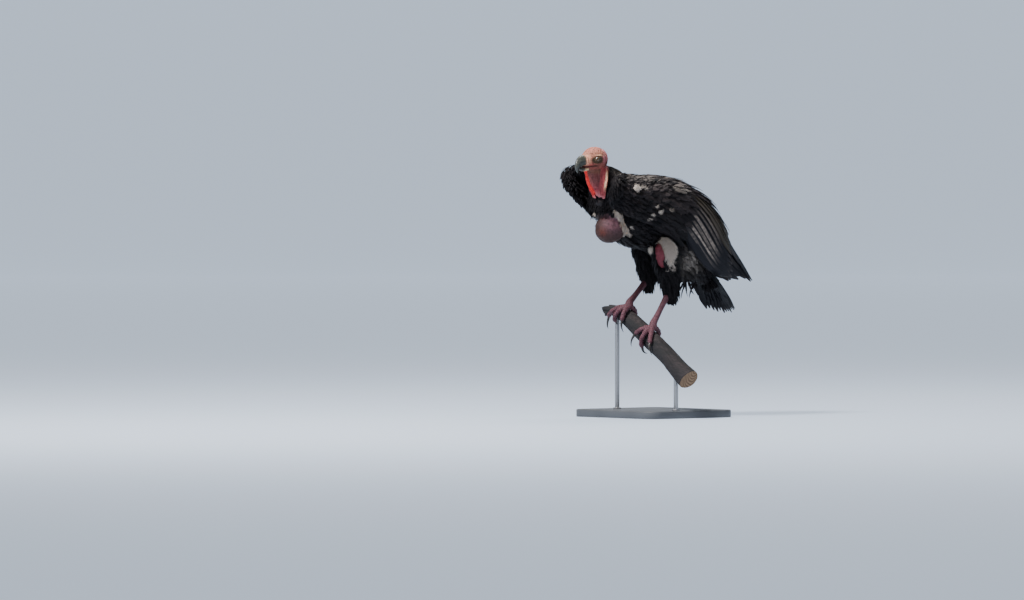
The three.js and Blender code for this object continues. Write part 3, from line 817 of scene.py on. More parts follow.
def stain(across, high, wide, tall):
    """A soft round spot on the skin, placed in the side view."""
    return bell(np.hypot((seen_across - across) / wide, (seen_high - high) / tall), 1.0)


body_tints = tinted(
    body_points,
    [
        (crop_near, srgb(60, 38, 32)),
        (crop_near * stain(-76, 254, 28, 26) * 0.9, srgb(122, 82, 92)),
        (crop_near * ramp(seen_across, -96, -116) * 0.5, srgb(40, 28, 22)),
        (crop_near * stain(-104, 226, 12, 12) * 0.6, srgb(100, 40, 28)),
        (crop_near * ramp(wrinkle(body_points, 7.0), -0.1, 0.5) * 0.55, srgb(44, 28, 28)),
        (in_crop_band(body_points), srgb(206, 178, 152)),
        (down_ground, srgb(212, 194, 174)),
        (patch, srgb(124, 48, 58)),
        (patch * (0.5 + 0.5 * wrinkle(body_points, 6.0)) * 0.5, srgb(104, 40, 50)),
    ],
    skin_black,
)
# Bare skin of the thigh lies at the surface of the plumage round it. It and the crop's are finely lumpy.
lumps = np.maximum(patch, crop_near) * (wrinkle(body_points, 9.0) + 0.6 * wrinkle(body_points, 4.5, seed=5.0))
body_points = body_points + (patch * 6 + lumps * 1.3)[:, None] * vertex_normals(body_points, body_faces)

skin_parts = [(body_points, body_faces), (head_points, head_faces)] + [legs[name][:2] for name in SIDES]
tints = [body_tints, head_tints]
scales = [np.zeros((len(body_points), 2)), np.zeros((len(head_points), 2))]
for name in SIDES:
    points = legs[name][0]
    leg_mottle = 0.5 + 0.5 * wrinkle(points, 9.0, seed=1.0)
    low = ramp(points[:, 2], 60, 10)
    leg_layers = [(low * 0.8, srgb(116, 74, 84)), (leg_mottle * 0.5, srgb(70, 42, 50))]
    tints.append(tinted(points, leg_layers, srgb(96, 56, 64)))
    scales.append(legs[name][2])
skin_mesh = mesh_of("skin", skin_parts)
tint = skin_mesh.attributes.new("tint", "FLOAT_COLOR", "POINT")
opaque = np.ones(len(skin_mesh.vertices))
tint.data.foreach_set("color", np.column_stack([np.concatenate(tints), opaque]).ravel())
for column, title in enumerate(("reach", "scuted")):
    values = skin_mesh.attributes.new(title, "FLOAT", "POINT")
    values.data.foreach_set("value", np.concatenate(scales)[:, column].astype(np.float32))


def position(stretch=(1, 1, 1), turn=(0, 0, 0)):
    """The object's own coordinates, stretched and turned, in metres."""
    source = Shade.node("ShaderNodeTexCoord").outputs["Object"]
    return Shade(Shade.node("ShaderNodeMapping", Vector=source, Scale=stretch, Rotation=turn).outputs[0])


def noise(scale, detail=3.0, rough=0.5, where=None, twist=0.0):
    grain = {"Scale": scale, "Detail": detail, "Roughness": rough, "Distortion": twist}
    return Shade(Shade.node("ShaderNodeTexNoise", Vector=where or position(), **grain).outputs[0])


def attribute(name, output="Fac"):
    return Shade(Shade.node("ShaderNodeAttribute", {"attribute_name": name}).outputs[output])


def blend(factor, a, b):
    """A colour that goes from a to b."""
    return Shade(Shade.node("ShaderNodeMix", {"data_type": "RGBA"}, n0=factor, n6=a, n7=b).outputs[2])


def relief(height, depth, strength=1.0):
    """A normal bent by a height, depth metres for each unit of it."""
    return Shade(Shade.node("ShaderNodeBump", Height=height, Distance=depth, Strength=strength).outputs[0])


def bare_skin():
    """Blotched, finely creased skin. The legs also have horny scutes."""
    tint = attribute("tint", "Color")
    blotch = noise(160, 5, 0.6).between(0.35, 0.72)
    colour = blend(blotch * 0.3, tint, srgb(32, 12, 12))
    pores = noise(1500, 2, 0.6)
    colour = blend(noise(430, 3, 0.6).between(0.48, 0.64) * 0.45, colour, srgb(20, 8, 8))
    creases = noise(420, 4, 0.62, twist=1.2)
    plates = (attribute("reach") * (math.pi / scute_length)).maths("SINE").maths("ABSOLUTE")
    gaps = plates.between(0.35, 0.0) * attribute("scuted")
    colour = blend(gaps * 0.6, colour, srgb(40, 22, 28))
    return {
        "Base_Color": colour,
        "Roughness": 0.5 + 0.25 * creases,
        "Normal": relief(creases + 0.35 * pores - 0.8 * gaps, 0.0009, 0.7),
    }


skin_finish = finish_material(
    "bare skin",
    bare_skin,
    Specular_IOR_Level=0.25,
    Subsurface_Weight=0.08,
    Subsurface_Radius=(0.006, 0.002, 0.0015),
    Subsurface_Scale=0.4,
)
skin = keep("skin", skin_mesh, skin_finish)
flesh = ("head", "neck", "lappet_left", "lappet_right", "trunk", "crop", "ruff")
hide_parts(*flesh, *(f"{part}_{name}" for part in ("thigh", "tarsus", "foot") for name in SIDES))
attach(skin, "root")


# ------------------------------------------------------------------ bill
# Two horn sheaths over bone, dark grey-green and paler at the lower one's base. The upper one has a sharp
# cutting edge along its sides and hooks down over the lower.
upper_bill = np.array(  # y, z of the middle, half-height and half-width
    (
        (-44, 5.3, 15.2, 11.4),
        (-50, 5.5, 15.6, 11.2),
        (-58, 5.2, 15.4, 10.8),
        (-66, 3.6, 14.4, 10.0),
        (-73, 0.4, 12.4, 8.8),
        (-78.5, -5.0, 9.8, 7.2),
        (-81, -11.0, 7.4, 5.6),
        (-81.2, -17.0, 4.8, 3.8),
        (-79.6, -22.0, 2.4, 2.2),
        (-78.6, -24.6, 0.6, 0.6),
    )
)
lower_bill = np.array(
    (
        (-38, -16.4, 5.4, 10.4),
        (-48, -16.6, 5.8, 9.8),
        (-58, -15.8, 5.2, 8.8),
        (-66, -14.8, 4.2, 7.2),
        (-72, -14.4, 3.0, 4.6),
        (-75.5, -14.3, 1.2, 1.8),
    )
)


def horn_sheath(keys, outline, rings, sides):
    """A sheath drawn through its keys. outline(angle) gives a ring's widths and heights, ridge first."""
    share = np.linspace(0, 1, rings + 1)
    middle = through(keys, share)
    run = unit(through(keys[:, :2], share + 0.01) - through(keys[:, :2], share - 0.01))
    angle = np.arange(sides) * 2 * math.pi / sides
    wide, high = outline(angle)
    made = np.zeros((rings + 1, sides, 3))
    made[..., 0] = middle[:, 3:4] * wide
    made[..., 1] = middle[:, 0:1] + run[:, 1:2] * middle[:, 2:3] * high
    made[..., 2] = middle[:, 1:2] - run[:, 0:1] * middle[:, 2:3] * high
    return tube_faces(on_head(made.reshape(-1, 3)).reshape(made.shape))


def roofed(angle):
    """A ridged roof over a flat bed, with a sharp edge at each side."""
    wide = np.sin(angle)
    high = np.cos(angle)
    edge = bell(np.abs(wide) - 1, 0.22) * (high < 0.35)
    bed = np.where(high < 0, -0.86 * np.abs(high) ** 0.6, high)
    return wide * (1 - 0.12 * ramp(high, 0.2, 0.9)), bed - 0.16 * edge


def trough(angle):
    wide = np.sin(angle)
    return wide, np.where(np.cos(angle) > 0, 0.55 * np.cos(angle), np.cos(angle))


def horn():
    """Horn in long growth layers, paler at the base, most on the lower sheath, and darker towards the tip."""
    grain = noise(90, 5, 0.6, position((0.35, 0.35, 1.6)))
    scratch = noise(900, 3, 0.7, position((1, 0.12, 1)))
    colour = blend(grain.between(0.3, 0.7), srgb(46, 48, 44), srgb(90, 91, 80))
    colour = blend(attribute("pale"), colour, srgb(232, 198, 154))
    colour = blend(attribute("dark"), colour, srgb(30, 31, 31))
    return {
        "Base_Color": colour,
        "Roughness": 0.3 + 0.22 * scratch,
        "Normal": relief(grain + 0.25 * scratch, 0.0005, 0.6),
    }


horn_finish = finish_material("bill horn", horn, Coat_Weight=0.15, Coat_Roughness=0.3)


def add_values(mesh, **values):
    """Stores a number for each point of a mesh under each name."""
    for name, numbers in values.items():
        layer = mesh.attributes.new(name, "FLOAT", "POINT")
        layer.data.foreach_set("value", np.asarray(numbers, np.float32))


for part, keys, outline, rings, sides in (
    ("upper", upper_bill, roofed, 56, 48),
    ("lower", lower_bill, trough, 36, 40),
):
    sheath = horn_sheath(keys, outline, rings, sides)
    mesh = mesh_of(f"bill_{part}_horn", [sheath])
    local = off_head(sheath[0])
    pale = ramp(local[:, 1], -58, -48) * (1.0 if part == "lower" else 0.2)
    add_values(mesh, pale=pale, dark=ramp(local[:, 1], -66, -80) * 0.5)
    bill = keep(f"bill_{part}_horn", mesh, horn_finish)
    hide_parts(f"bill_{part}")
    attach(bill, "root")

# ------------------------------------------------------------------ eyes
# Glass eyes as a museum sets them: a dark iris painted behind a clear front, held deep between the lids.
iris_radius = 5.9
pupil_radius = 2.4


def glass_eye():
    """A near-black pupil in a brown iris with fine rays, a dark rim and dark brown beyond it."""
    out = attribute("from_pupil")
    rays = noise(2600, 2, 0.5)
    iris = blend(rays.between(0.3, 0.7), srgb(46, 30, 18), srgb(104, 76, 42))
    colour = blend(out.between(pupil_radius - 0.15, pupil_radius + 0.2), srgb(4, 3, 3), iris)
    colour = blend(out.between(iris_radius - 0.7, iris_radius), colour, srgb(20, 12, 9))
    colour = blend(out.between(iris_radius + 0.1, iris_radius + 0.8), colour, srgb(34, 22, 20))
    return {"Base_Color": colour, "Roughness": 0.06 + 0.02 * rays}


eye_finish = finish_material("glass eye", glass_eye, Coat_Weight=0.5, Coat_Roughness=0.04)
for name, side in SIDES.items():
    ball = bmesh.new()
    bmesh.ops.create_uvsphere(ball, u_segments=48, v_segments=32, radius=eye_radius)
    points = np.array([vertex.co[:] for vertex in ball.verts])
    faces = [tuple(vertex.index for vertex in face.verts) for face in ball.faces]
    faces.sort()  # they come in another order each time
    ball.free()
    centre = eye_middle * (side, 1, 1)
    axis = eye_axis * (side, 1, 1)
    along = points @ axis
    from_pupil = np.where(along > 0, np.linalg.norm(points - along[:, None] * axis, axis=1), 20.0)
    bulge = 0.7 * ramp(from_pupil, iris_radius + 0.8, 0)
    mesh = mesh_of(f"eye_{name}_glass", [(on_head(centre + points + axis * bulge[:, None]), faces)])
    add_values(mesh, from_pupil=from_pupil)
    eye = keep(f"eye_{name}_glass", mesh, eye_finish)
    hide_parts(f"eye_{name}")
    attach(eye, "root")

# ------------------------------------------------------------------ claws
# Black horn claws, thick and ridged above, flat below, each growing out of a toe's last joint. On each foot
# one hangs free and the rest curl on round the branch.
claw_length = 38.0


def claw_keys(name, heading, length, hangs):
    end, before = toe_path(foot_along[name], heading, length, np.array((1.0, 0.9)))
    outwards = end - branch_axis(end[0])
    outwards[0] = 0
    outwards = unit(outwards)
    run = unit(end - before)
    run = unit(run - 1.2 * UP) if hangs else unit(run - 0.25 * outwards)
    reach = claw_length * (1 if hangs else 0.84)
    keys = []
    for share in (-0.12, 0.05, 0.2, 0.4, 0.6, 0.8, 0.92, 1.0):
        half = (4.4 + (0.5 - 4.4) * max(share, 0) ** 1.15) * (0.75 if share < 0 else 1)
        spot = end + run * reach * share + outwards * 0.16 * reach * math.sin(math.pi * max(share, 0))
        keys.append((*spot, half * 0.8, half, half * 0.9))
    return keys, outwards


def claw_horn():
    """Near-black horn with fine lengthwise wear."""
    grain = noise(220, 4, 0.6)
    colour = blend(grain.between(0.35, 0.75), srgb(24, 21, 20), srgb(66, 58, 54))
    return {"Base_Color": colour, "Roughness": 0.28 + 0.25 * grain, "Normal": relief(grain, 0.0004, 0.5)}


claw_finish = finish_material("claw horn", claw_horn, Coat_Weight=0.2, Coat_Roughness=0.25)
for name in SIDES:
    for number, toe in enumerate(toes[name], 1):
        keys, outwards = claw_keys(name, *toe)
        mesh = mesh_of(f"claw_{name}_{number}_horn", [Limb(outwards, *keys).mesh(22, 16)])
        claw = keep(f"claw_{name}_{number}_horn", mesh, claw_finish)
        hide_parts(f"claw_{name}_{number}")
        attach(claw, "root")

# ------------------------------------------------------------------ perch
# A length of dead, barkless branch: broken off short and splintered at one end, sawn at the other. Its
# weathered grey wood is cracked along the grain, with a few knots where twigs grew.


def knotty(angle, share):
    return 1 + 0.05 * np.sin(2 * angle + 9 * share) + 0.03 * np.sin(3 * angle - 17 * share + 1)


branch_rings, branch_sides = 250, 120
share = np.linspace(0, 1, branch_rings + 1)[:, None]
angle = (np.arange(branch_sides) * 2 * math.pi / branch_sides)[None, :]
x = branch_ends[0] + (branch_ends[1] - branch_ends[0]) * share + 0 * angle
radius = through(branch_radii, share + 0 * angle) * knotty(angle, share)
along = x / math.cos(branch_slope)
flat_bark = np.stack([along / 6.0, radius * np.cos(angle), radius * np.sin(angle)], -1)
fibres = wrinkle(flat_bark.reshape(-1, 3), 2.6).reshape(radius.shape)
swells = wrinkle(flat_bark.reshape(-1, 3) * (1.6, 1, 1), 13.0, seed=5.0).reshape(radius.shape)
twist = angle + 0.0035 * along + 0.16 * np.sin(along / 31)
cracks = np.zeros_like(radius)
crack_count = 26
crack_random = random.Random(5)
for _ in range(crack_count):
    place = crack_random.uniform(0, 2 * math.pi)
    middle = crack_random.uniform(-140, 240)
    length = crack_random.uniform(22, 80)
    off = (twist - place + math.pi) % (2 * math.pi) - math.pi
    depth = crack_random.uniform(0.8, 2.6)
    cracks += depth * bell(off * radius, crack_random.uniform(0.5, 1.0)) * bell(along - middle, length)
for place, middle, size in ((1.0, 96, 9), (2.2, 20, 6), (-0.4, 170, 8), (0.2, -84, 6)):
    off = (angle - place + math.pi) % (2 * math.pi) - math.pi
    apart = np.hypot(off * radius, along - middle)
    cracks += -0.5 * size * 0.6 * bell(apart, size * 0.8) + 2.0 * bell(apart, size * 0.25)
radius = radius - 0.9 + 0.55 * fibres + 1.1 * swells - np.clip(cracks, -5, 3)
round_end = np.stack([np.cos(angle[0]) * 3, np.sin(angle[0]) * 3, np.zeros(branch_sides)], -1)
ragged = wrinkle(round_end, 0.62, seed=2.0)
splinters = 7 * np.sin(3 * angle[0] + 0.6) + 5 * np.sin(angle[0]) + 5 * np.maximum(ragged, -0.4)
broken = ramp(share[:, 0], 0.09, 0.0)
centre = branch_axis(x)
centre -= branch_run * (broken[:, None] * np.minimum(splinters, 11.5)[None, :])[..., None]
ring = centre + radius[..., None] * (AHEAD * np.cos(angle)[..., None] + branch_top * np.sin(angle)[..., None])
# Each end closes inwards over rings of its own: a splintered hollow and a flat sawn face with a small bevel.
first, last = branch_axis(x[0]), branch_axis(x[-1])
broken_face = [
    first + (ring[0] - first) * k + branch_run * (hollow - 4 * np.abs(ragged))[:, None]
    for k, hollow in ((0.08, 13), (0.25, 9), (0.45, 10), (0.65, 5), (0.85, 4))
]
sawn_face = [last + (ring[-1] - last) * k for k in (0.97, 0.8, 0.6, 0.4, 0.2, 0.05)]
wood = tube_faces(np.concatenate([np.array(broken_face), ring, np.array(sawn_face)]))
raw_end = np.zeros((len(broken_face) + branch_rings + 1 + len(sawn_face), branch_sides))
raw_end[: len(broken_face)] = 1
raw_end[-len(sawn_face) :] = 1
# Painted light: the branch's upper side is paler, as if lit from above.
worn = np.zeros_like(raw_end)
worn[len(broken_face) : -len(sawn_face)] = ramp(np.sin(angle) + 0.3 * swells, 0.35, 0.9)
# Painted shade: the wood is darkened in its cracks and knot holes.
crack_shade = np.zeros_like(raw_end)
crack_shade[len(broken_face) : -len(sawn_face)] = ramp(cracks, 0.4, 1.6)


def dead_wood():
    """Barkless weathered wood: silver-grey fibres, black damp streaks, browner raw ends, painted light along
    the upper side and painted shade in the cracks.
    """
    turn = (0, branch_slope, 0)
    fibre = noise(260, 6, 0.65, position((0.1, 1, 1), turn))
    streak = noise(26, 4, 0.6, position((0.3, 1, 1), turn))
    colour = blend(fibre.between(0.3, 0.72), srgb(12, 9, 11), srgb(38, 31, 34))
    # Painted light: paler fibres along the branch's upper side.
    colour = blend(attribute("worn") * fibre.between(0.35, 0.6) * 0.4, colour, srgb(60, 50, 48))
    colour = blend(streak.between(0.44, 0.58) * 0.9, colour, srgb(16, 15, 17))
    ringed = {"wave_type": "RINGS", "rings_direction": "X"}
    run = position((1, 1, 1), turn)
    rings = Shade.node("ShaderNodeTexWave", ringed, Vector=run, Scale=90.0, Distortion=3.0, Detail=3.0)
    raw = blend(Shade(rings.outputs["Fac"]).between(0.2, 0.8), srgb(98, 74, 54), srgb(146, 118, 90))
    colour = blend(attribute("raw") * 0.85, colour, raw)
    # Painted shade in the cracks and knot holes.
    colour = blend(attribute("crack"), colour, srgb(20, 17, 17))
    bent = relief(fibre + 0.4 * streak, 0.0012, 0.9)
    return {"Base_Color": colour, "Roughness": 0.8 + 0.15 * fibre, "Normal": bent}


perch_mesh = mesh_of("perch_wood", [wood])
add_values(perch_mesh, raw=raw_end.ravel(), worn=worn.ravel(), crack=crack_shade.ravel())
perch = keep("perch_wood", perch_mesh, finish_material("dead wood", dead_wood))
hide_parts("perch_branch")
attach(perch, "root")

# ------------------------------------------------------------------ display stand
# A plain board with rounded corners, painted matt grey, and two brushed steel rods that run up into the
# branch, each with a thin collar at the board.
board_size = np.array((330.0, 300.0, 20.0))
board_middle = np.array((16.0, 30.0))
board_corner = 40.0
rod_radius = 6.0
rod_places = (-84.0, 150.0)


under = -PERCH_HEIGHT


def board_ring(inset, high, steps=14):
    """The board's outline, drawn in by inset, at a height over its underside."""
    half = board_size[:2] / 2
    ring = []
    for corner, sides in enumerate(((1, 1), (-1, 1), (-1, -1), (1, -1))):
        for a in np.linspace(0, math.pi / 2, steps) + corner * math.pi / 2:
            round_corner = (board_corner - inset) * np.array((math.cos(a), math.sin(a)))
            ring.append((*(board_middle + sides * (half - board_corner) + round_corner), under + high))
    return ring


board_profile = ((1.0, 0.0), (0.0, 1.0), (0.0, 17.0), (0.3, 18.4), (1.1, 19.5), (2.4, 20.0), (30.0, 20.0))
board = tube_faces(np.array([board_ring(inset, high) for inset, high in board_profile]))


def board_paint():
    """Matt paint with the faint orange peel of a roller."""
    peel = noise(700, 2, 0.5)
    fade = noise(9, 3, 0.5)
    colour = blend(fade.between(0.3, 0.7), srgb(74, 76, 80), srgb(84, 86, 90))
    return {"Base_Color": colour, "Roughness": 0.5 + 0.12 * peel, "Normal": relief(peel, 0.0002, 0.3)}


board_finish = finish_material("board paint", board_paint)
board_piece = keep("stand_board", mesh_of("stand_board", [board]), board_finish)
board_piece.data.set_sharp_from_angle(angle=math.radians(50))
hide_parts("stand_base")
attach(board_piece, "root")


def brushed_steel():
    """Steel brushed round the rod."""
    brushing = noise(1400, 2, 0.6, position((0.2, 0.2, 4)))
    return {
        "Base_Color": (0.42, 0.42, 0.43),
        "Roughness": 0.28 + 0.2 * brushing,
        "Normal": relief(brushing, 0.0001, 0.4),
    }


def turned(middle, profile, sides=40):
    """A round body on an upright axis, from the radius and height of each of its rings."""
    a = np.arange(sides) * 2 * math.pi / sides
    circle = np.column_stack([np.cos(a), np.sin(a)])
    rings = [np.column_stack([middle + radius * circle, np.full(sides, high)]) for radius, high in profile]
    return tube_faces(np.array(rings))


steel_finish = finish_material("brushed steel", brushed_steel, Metallic=1.0)
for number, x in enumerate(rod_places, 1):
    spot = branch_axis(x)
    head = float(spot[2]) - 6
    foot = under + board_size[2] - 3.5
    profile = [(rod_radius, foot), (rod_radius, head), (rod_radius - 1.5, head + 1.5)]
    collar = [(5.9, foot), (11.0, foot), (11.0, foot + 6.2), (10.2, foot + 7.0), (5.9, foot + 7.0)]
    rod_parts = [turned(spot[:2], outline) for outline in (profile, collar)]
    rod = keep(f"stand_rod_{number}_steel", mesh_of(f"stand_rod_{number}_steel", rod_parts), steel_finish)
    rod.data.set_sharp_from_angle(angle=math.radians(35))
    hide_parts(f"stand_rod_{number}")
    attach(rod, "root")

# ------------------------------------------------------------------ feathers and how they are planted
# Every small feather is one of a few thin vanes, some frayed at the tip, and every tuft of down a spray of
# fine strands. Each is planted in the skin by its quill and lies back along the body over the next one.
feather_shapes = bpy.data.collections.new("feather shapes")
shape_numbers = {}


def add_shape(kind, points, faces, across, along):
    """Stores a shape of unit length and width, with its place across and along the vane as a UV map."""
    number = len(feather_shapes.objects)
    mesh = mesh_of(f"shape_{number:03d}", [(points, faces)], in_metres=False)
    vane = mesh.uv_layers.new(name="vane")
    corners = np.empty(len(mesh.loops), int)
    mesh.loops.foreach_get("vertex_index", corners)
    vane.data.foreach_set("uv", np.column_stack([across, along])[corners].astype(np.float32).ravel())
    mesh.polygons.foreach_set("use_smooth", [True] * len(mesh.polygons))
    feather_shapes.objects.link(bpy.data.objects.new(mesh.name, mesh))
    shape_numbers.setdefault(kind, []).append(number)


def add_vane(kind, seed, outline, rows, ring, frays=0, camber=0.3, skin_thick=0.06, wave=0.0):
    """A feather from its half-width outline, with V-shaped splits where its barbs have parted."""
    rng = np.random.default_rng(seed)
    x = np.linspace(0, 1, rows + 1)
    half = np.stack([through(outline, x)] * 2)
    half *= 1 - rng.uniform(0, 0.14, half.shape) * ramp(x, 0.3, 0.6)
    for _ in range(frays):
        row, side = rng.integers(int(rows * 0.45), rows), rng.integers(0, 2)
        half[side, row] *= rng.uniform(0.45, 0.75)
    half[:, -1] = np.minimum(half[:, -1], 0.12)
    bend = wave * np.sin(x * 3 + rng.uniform(0, 6)) * x
    spots = {
        4: ((-1, 0.0), (0, 1.0), (1, 0.0), (0, -1.0)),
        6: ((-1, 0.0), (-0.5, 0.6), (0, 1.0), (0.5, 0.6), (1, 0.0), (0, -1.0)),
    }[ring]
    rings, across = [], []
    for k in range(rows + 1):
        for y, lifted in spots:
            wide = half[0 if y < 0 else 1, k] * 0.5
            rise = 4 * x[k] * (1 - x[k]) - camber * y * y * min(1, 1.6 * (1 - x[k]) + 0.35)
            rings.append((x[k], y * wide + bend[k], rise + skin_thick * lifted * (1 - 0.6 * x[k])))
            across.append(0.5 + 0.5 * y)
    points, faces = tube_faces(np.array(rings).reshape(rows + 1, ring, 3))
    add_shape(kind, points, faces, np.array(across), np.repeat(x, ring))


def add_tuft(kind, seed, strands, spread, rows=3, thick=0.018):
    """A spray of fine curved strands from one root."""
    rng = np.random.default_rng(seed)
    parts, across, along = [], [], []
    for strand in range(strands):
        side = spread * rng.uniform(-1, 1)
        lift = rng.uniform(0.0, 1.0)
        far = rng.uniform(0.6, 1.0)
        s = np.linspace(0, 1, rows + 1)
        curl = rng.uniform(-0.3, 0.3)
        line = np.stack([s * far, side * s**1.2 + curl * s * s * 0.4, lift * s ** rng.uniform(0.6, 1.4)], -1)
        a = np.arange(3) * 2 * math.pi / 3
        wide = (thick * (1.1 - 0.9 * s))[:, None]
        round_it = np.stack([0 * a + 0 * wide, np.cos(a) * wide, np.sin(a) * wide * 2.0], -1)
        parts.append(tube_faces(line[:, None, :] + round_it))
        across.append(np.full(3 * (rows + 1), strand / strands))
        along.append(np.repeat(s, 3))
    offsets = np.cumsum([0] + [len(part[0]) for part in parts])
    faces = [tuple(v + offset for v in face) for part, offset in zip(parts, offsets) for face in part[1]]
    points = np.concatenate([part[0] for part in parts])
    add_shape(kind, points, faces, np.concatenate(across), np.concatenate(along))


rounded = (0.08, 0.55, 0.9, 1.0, 0.94, 0.7, 0.06)
pointed = (0.08, 0.55, 0.92, 1.0, 0.8, 0.42, 0.04)
lancet = (0.1, 0.7, 1.0, 0.9, 0.6, 0.28, 0.03)
for seed in range(8):
    add_vane("contour", seed, rounded, 11, 4, frays=4, wave=0.1)
    add_vane("covert", 20 + seed, rounded, 15, 6, frays=4, wave=0.06)
    add_vane("pointed", 40 + seed, pointed, 14, 6, frays=6, wave=0.12)
    add_vane("hackle", 60 + seed, lancet, 9, 4, frays=4, wave=0.2)
    add_tuft("down", 80 + seed, 7, 0.8, rows=2, thick=0.03)
    add_tuft("wisp", 100 + seed, 5, 0.3)
for seed in range(3):
    add_tuft("bristle", 120 + seed, 1, 0.12, thick=0.03)


def plumage_tree():
    """Stands a shape at each point, turned along its lie, each with its own patch of the bake map."""
    tree = bpy.data.node_groups.new("plumage", "GeometryNodeTree")
    Shade.tree = tree
    add = Shade.node
    tree.is_modifier = True
    sockets = {}
    for title, kind, value in (
        ("Roots", "Geometry", None),
        ("Shapes", "Collection", None),
        ("Finish", "Material", None),
        ("Ruffle", "Float", math.radians(5)),
        ("Patch", "Float", 0.003),
        ("Seed", "Int", 11),
    ):
        sockets[title] = tree.interface.new_socket(title, in_out="INPUT", socket_type=f"NodeSocket{kind}")
        if value is not None:
            sockets[title].default_value = value
    tree.interface.new_socket("Plumage", in_out="OUTPUT", socket_type="NodeSocketGeometry")

    def named(title, kind):
        made = add("GeometryNodeInputNamedAttribute", {"data_type": kind}, Name=title)
        return next(socket for socket in made.outputs if socket.enabled)

    given = add("NodeGroupInput").outputs
    shapes = add(
        "GeometryNodeCollectionInfo",
        Collection=given["Shapes"],
        Separate_Children=True,
        Reset_Children=True,
    )
    axes = add(
        "FunctionNodeAxesToRotation",
        {"primary_axis": "X", "secondary_axis": "Z"},
        Primary_Axis=named("lie", "FLOAT_VECTOR"),
        Secondary_Axis=named("facing", "FLOAT_VECTOR"),
    )
    most = Shade(given["Ruffle"])
    least = most * -1.0
    angles = []
    for number in range(3):
        seed = Shade(given["Seed"]) + float(number)
        chance = add("FunctionNodeRandomValue", {"data_type": "FLOAT"}, n2=least, n3=most, Seed=seed)
        angles.append(chance.outputs[1])
    euler = add("ShaderNodeCombineXYZ", n0=angles[0], n1=angles[1], n2=angles[2])
    nudge = add("FunctionNodeEulerToRotation", Euler=euler.outputs[0])
    local = {"rotation_space": "LOCAL"}
    stance = add("FunctionNodeRotateRotation", local, n0=axes.outputs[0], n1=nudge.outputs[0])
    planted = add(
        "GeometryNodeInstanceOnPoints",
        Points=given["Roots"],
        Instance=shapes.outputs[0],
        Pick_Instance=True,
        Instance_Index=named("shape", "INT"),
        Rotation=stance.outputs[0],
        Scale=named("size", "FLOAT_VECTOR"),
    )
    solid = add("GeometryNodeRealizeInstances", Geometry=planted.outputs[0])

    def vectors(operation, **values):
        return add("ShaderNodeVectorMath", {"operation": operation}, **values).outputs[0]

    centred = vectors("SUBTRACT", n0=named("vane", "FLOAT_VECTOR"), n1=(0.5, 0.5, 0))
    shrunk = vectors("SCALE", n0=centred, Scale=given["Patch"])
    moved = vectors("ADD", n0=shrunk, n1=named("root_map", "FLOAT_VECTOR"))
    mapped = add(
        "GeometryNodeStoreNamedAttribute",
        {"data_type": "FLOAT2", "domain": "CORNER"},
        Geometry=solid.outputs[0],
        Name="OFBake",
        Value=moved,
    )
    finished = add("GeometryNodeSetMaterial", Geometry=mapped.outputs[0], Material=given["Finish"])
    tree.links.new(finished.outputs[0], add("NodeGroupOutput").inputs[0])
    return tree, {title: socket.identifier for title, socket in sockets.items()}


plumage_nodes, plumage_inputs = plumage_tree()


small_step = 5e-3  # of a surface's length, to find how fast a place moves along it


def dice(seed):
    return np.random.default_rng(seed)


def rows_on(surface, ends, sides, spacing, seed, jitter=0.28, loop=False):
    """Staggered rows of places on a surface, about spacing millimetres apart, as its two coordinates."""
    rng = dice(seed)
    rows_s, rows_t = [], []
    s, number = ends[0], 0
    while s < ends[1]:
        gap = spacing(s) if callable(spacing) else spacing
        t = np.linspace(*sides, 33)
        girth = np.linalg.norm(np.diff(surface(np.full(33, s), t), axis=0), axis=1).sum()
        ahead = surface(np.full(33, s + small_step), t) - surface(np.full(33, s), t)
        speed = np.linalg.norm(ahead, axis=1).mean() / small_step
        count = max(2, int(girth / gap))
        places = (np.arange(count) + (0.5 if number % 2 else 0.0)) / count
        places = places + rng.uniform(-jitter, jitter, count) / count
        rows_t.append(sides[0] + (sides[1] - sides[0]) * (places % 1.0 if loop else np.clip(places, 0, 1)))
        rows_s.append(s + rng.uniform(-jitter, jitter, count) * gap / speed)
        s += 0.87 * gap / speed
        number += 1
    return np.clip(np.concatenate(rows_s), *ends), np.concatenate(rows_t)


def planted(surface, s, t, length, width, root_depth, tip_depth, kind, seed, drift=0.0, spread=0.12):
    """Feathers rooted at s, t whose tips come to tip_depth under the surface, a length further along it."""
    rng = dice(seed)
    given = (s, t, length, width, root_depth, tip_depth, drift)
    each = (np.broadcast_to(np.asarray(values, float), s.shape) for values in given)
    s, t, length, width, root_depth, tip_depth, drift = each
    length = length * rng.uniform(1 - spread, 1 + spread, len(s))
    from_s = np.minimum(s, 0.985)
    speed = np.linalg.norm(surface(from_s + small_step, t) - surface(from_s, t), axis=1) / small_step
    step = np.clip(length / np.maximum(speed, 20), 0.01, 1 - from_s)
    root = surface(s, t, root_depth)
    tip = surface(from_s + step, t + drift, tip_depth)
    middle = surface(from_s + step / 2, t + drift / 2, 0.35 * root_depth + 0.65 * tip_depth)
    facing = unit(surface(s, t, 0.0) - surface(s, t, 1.0))
    chord = unit(tip - root)
    tip = root + chord * length[:, None]
    upright = unit(facing - np.einsum("ij,ij->i", facing, chord)[:, None] * chord)
    bow = np.einsum("ij,ij->i", middle - (root + tip) / 2, upright)
    bow = np.clip(bow, 0.03 * length, 0.1 * length) * rng.uniform(0.8, 1.2, len(s))
    spans = [(values - values.min()) / (np.ptp(values) or 1) for values in (s, t)]
    return {
        "root": root,
        "lie": chord,
        "facing": upright,
        "size": np.column_stack([length, width * rng.uniform(0.88, 1.12, len(s)), bow]),
        "shape": rng.choice(shape_numbers[kind], len(s)),
        "tone": rng.uniform(0, 1, len(s)),
        "pale": np.zeros(len(s)),
        "root_map": np.column_stack([*spans, 0 * s]) * 0.98 + 0.01,
    }


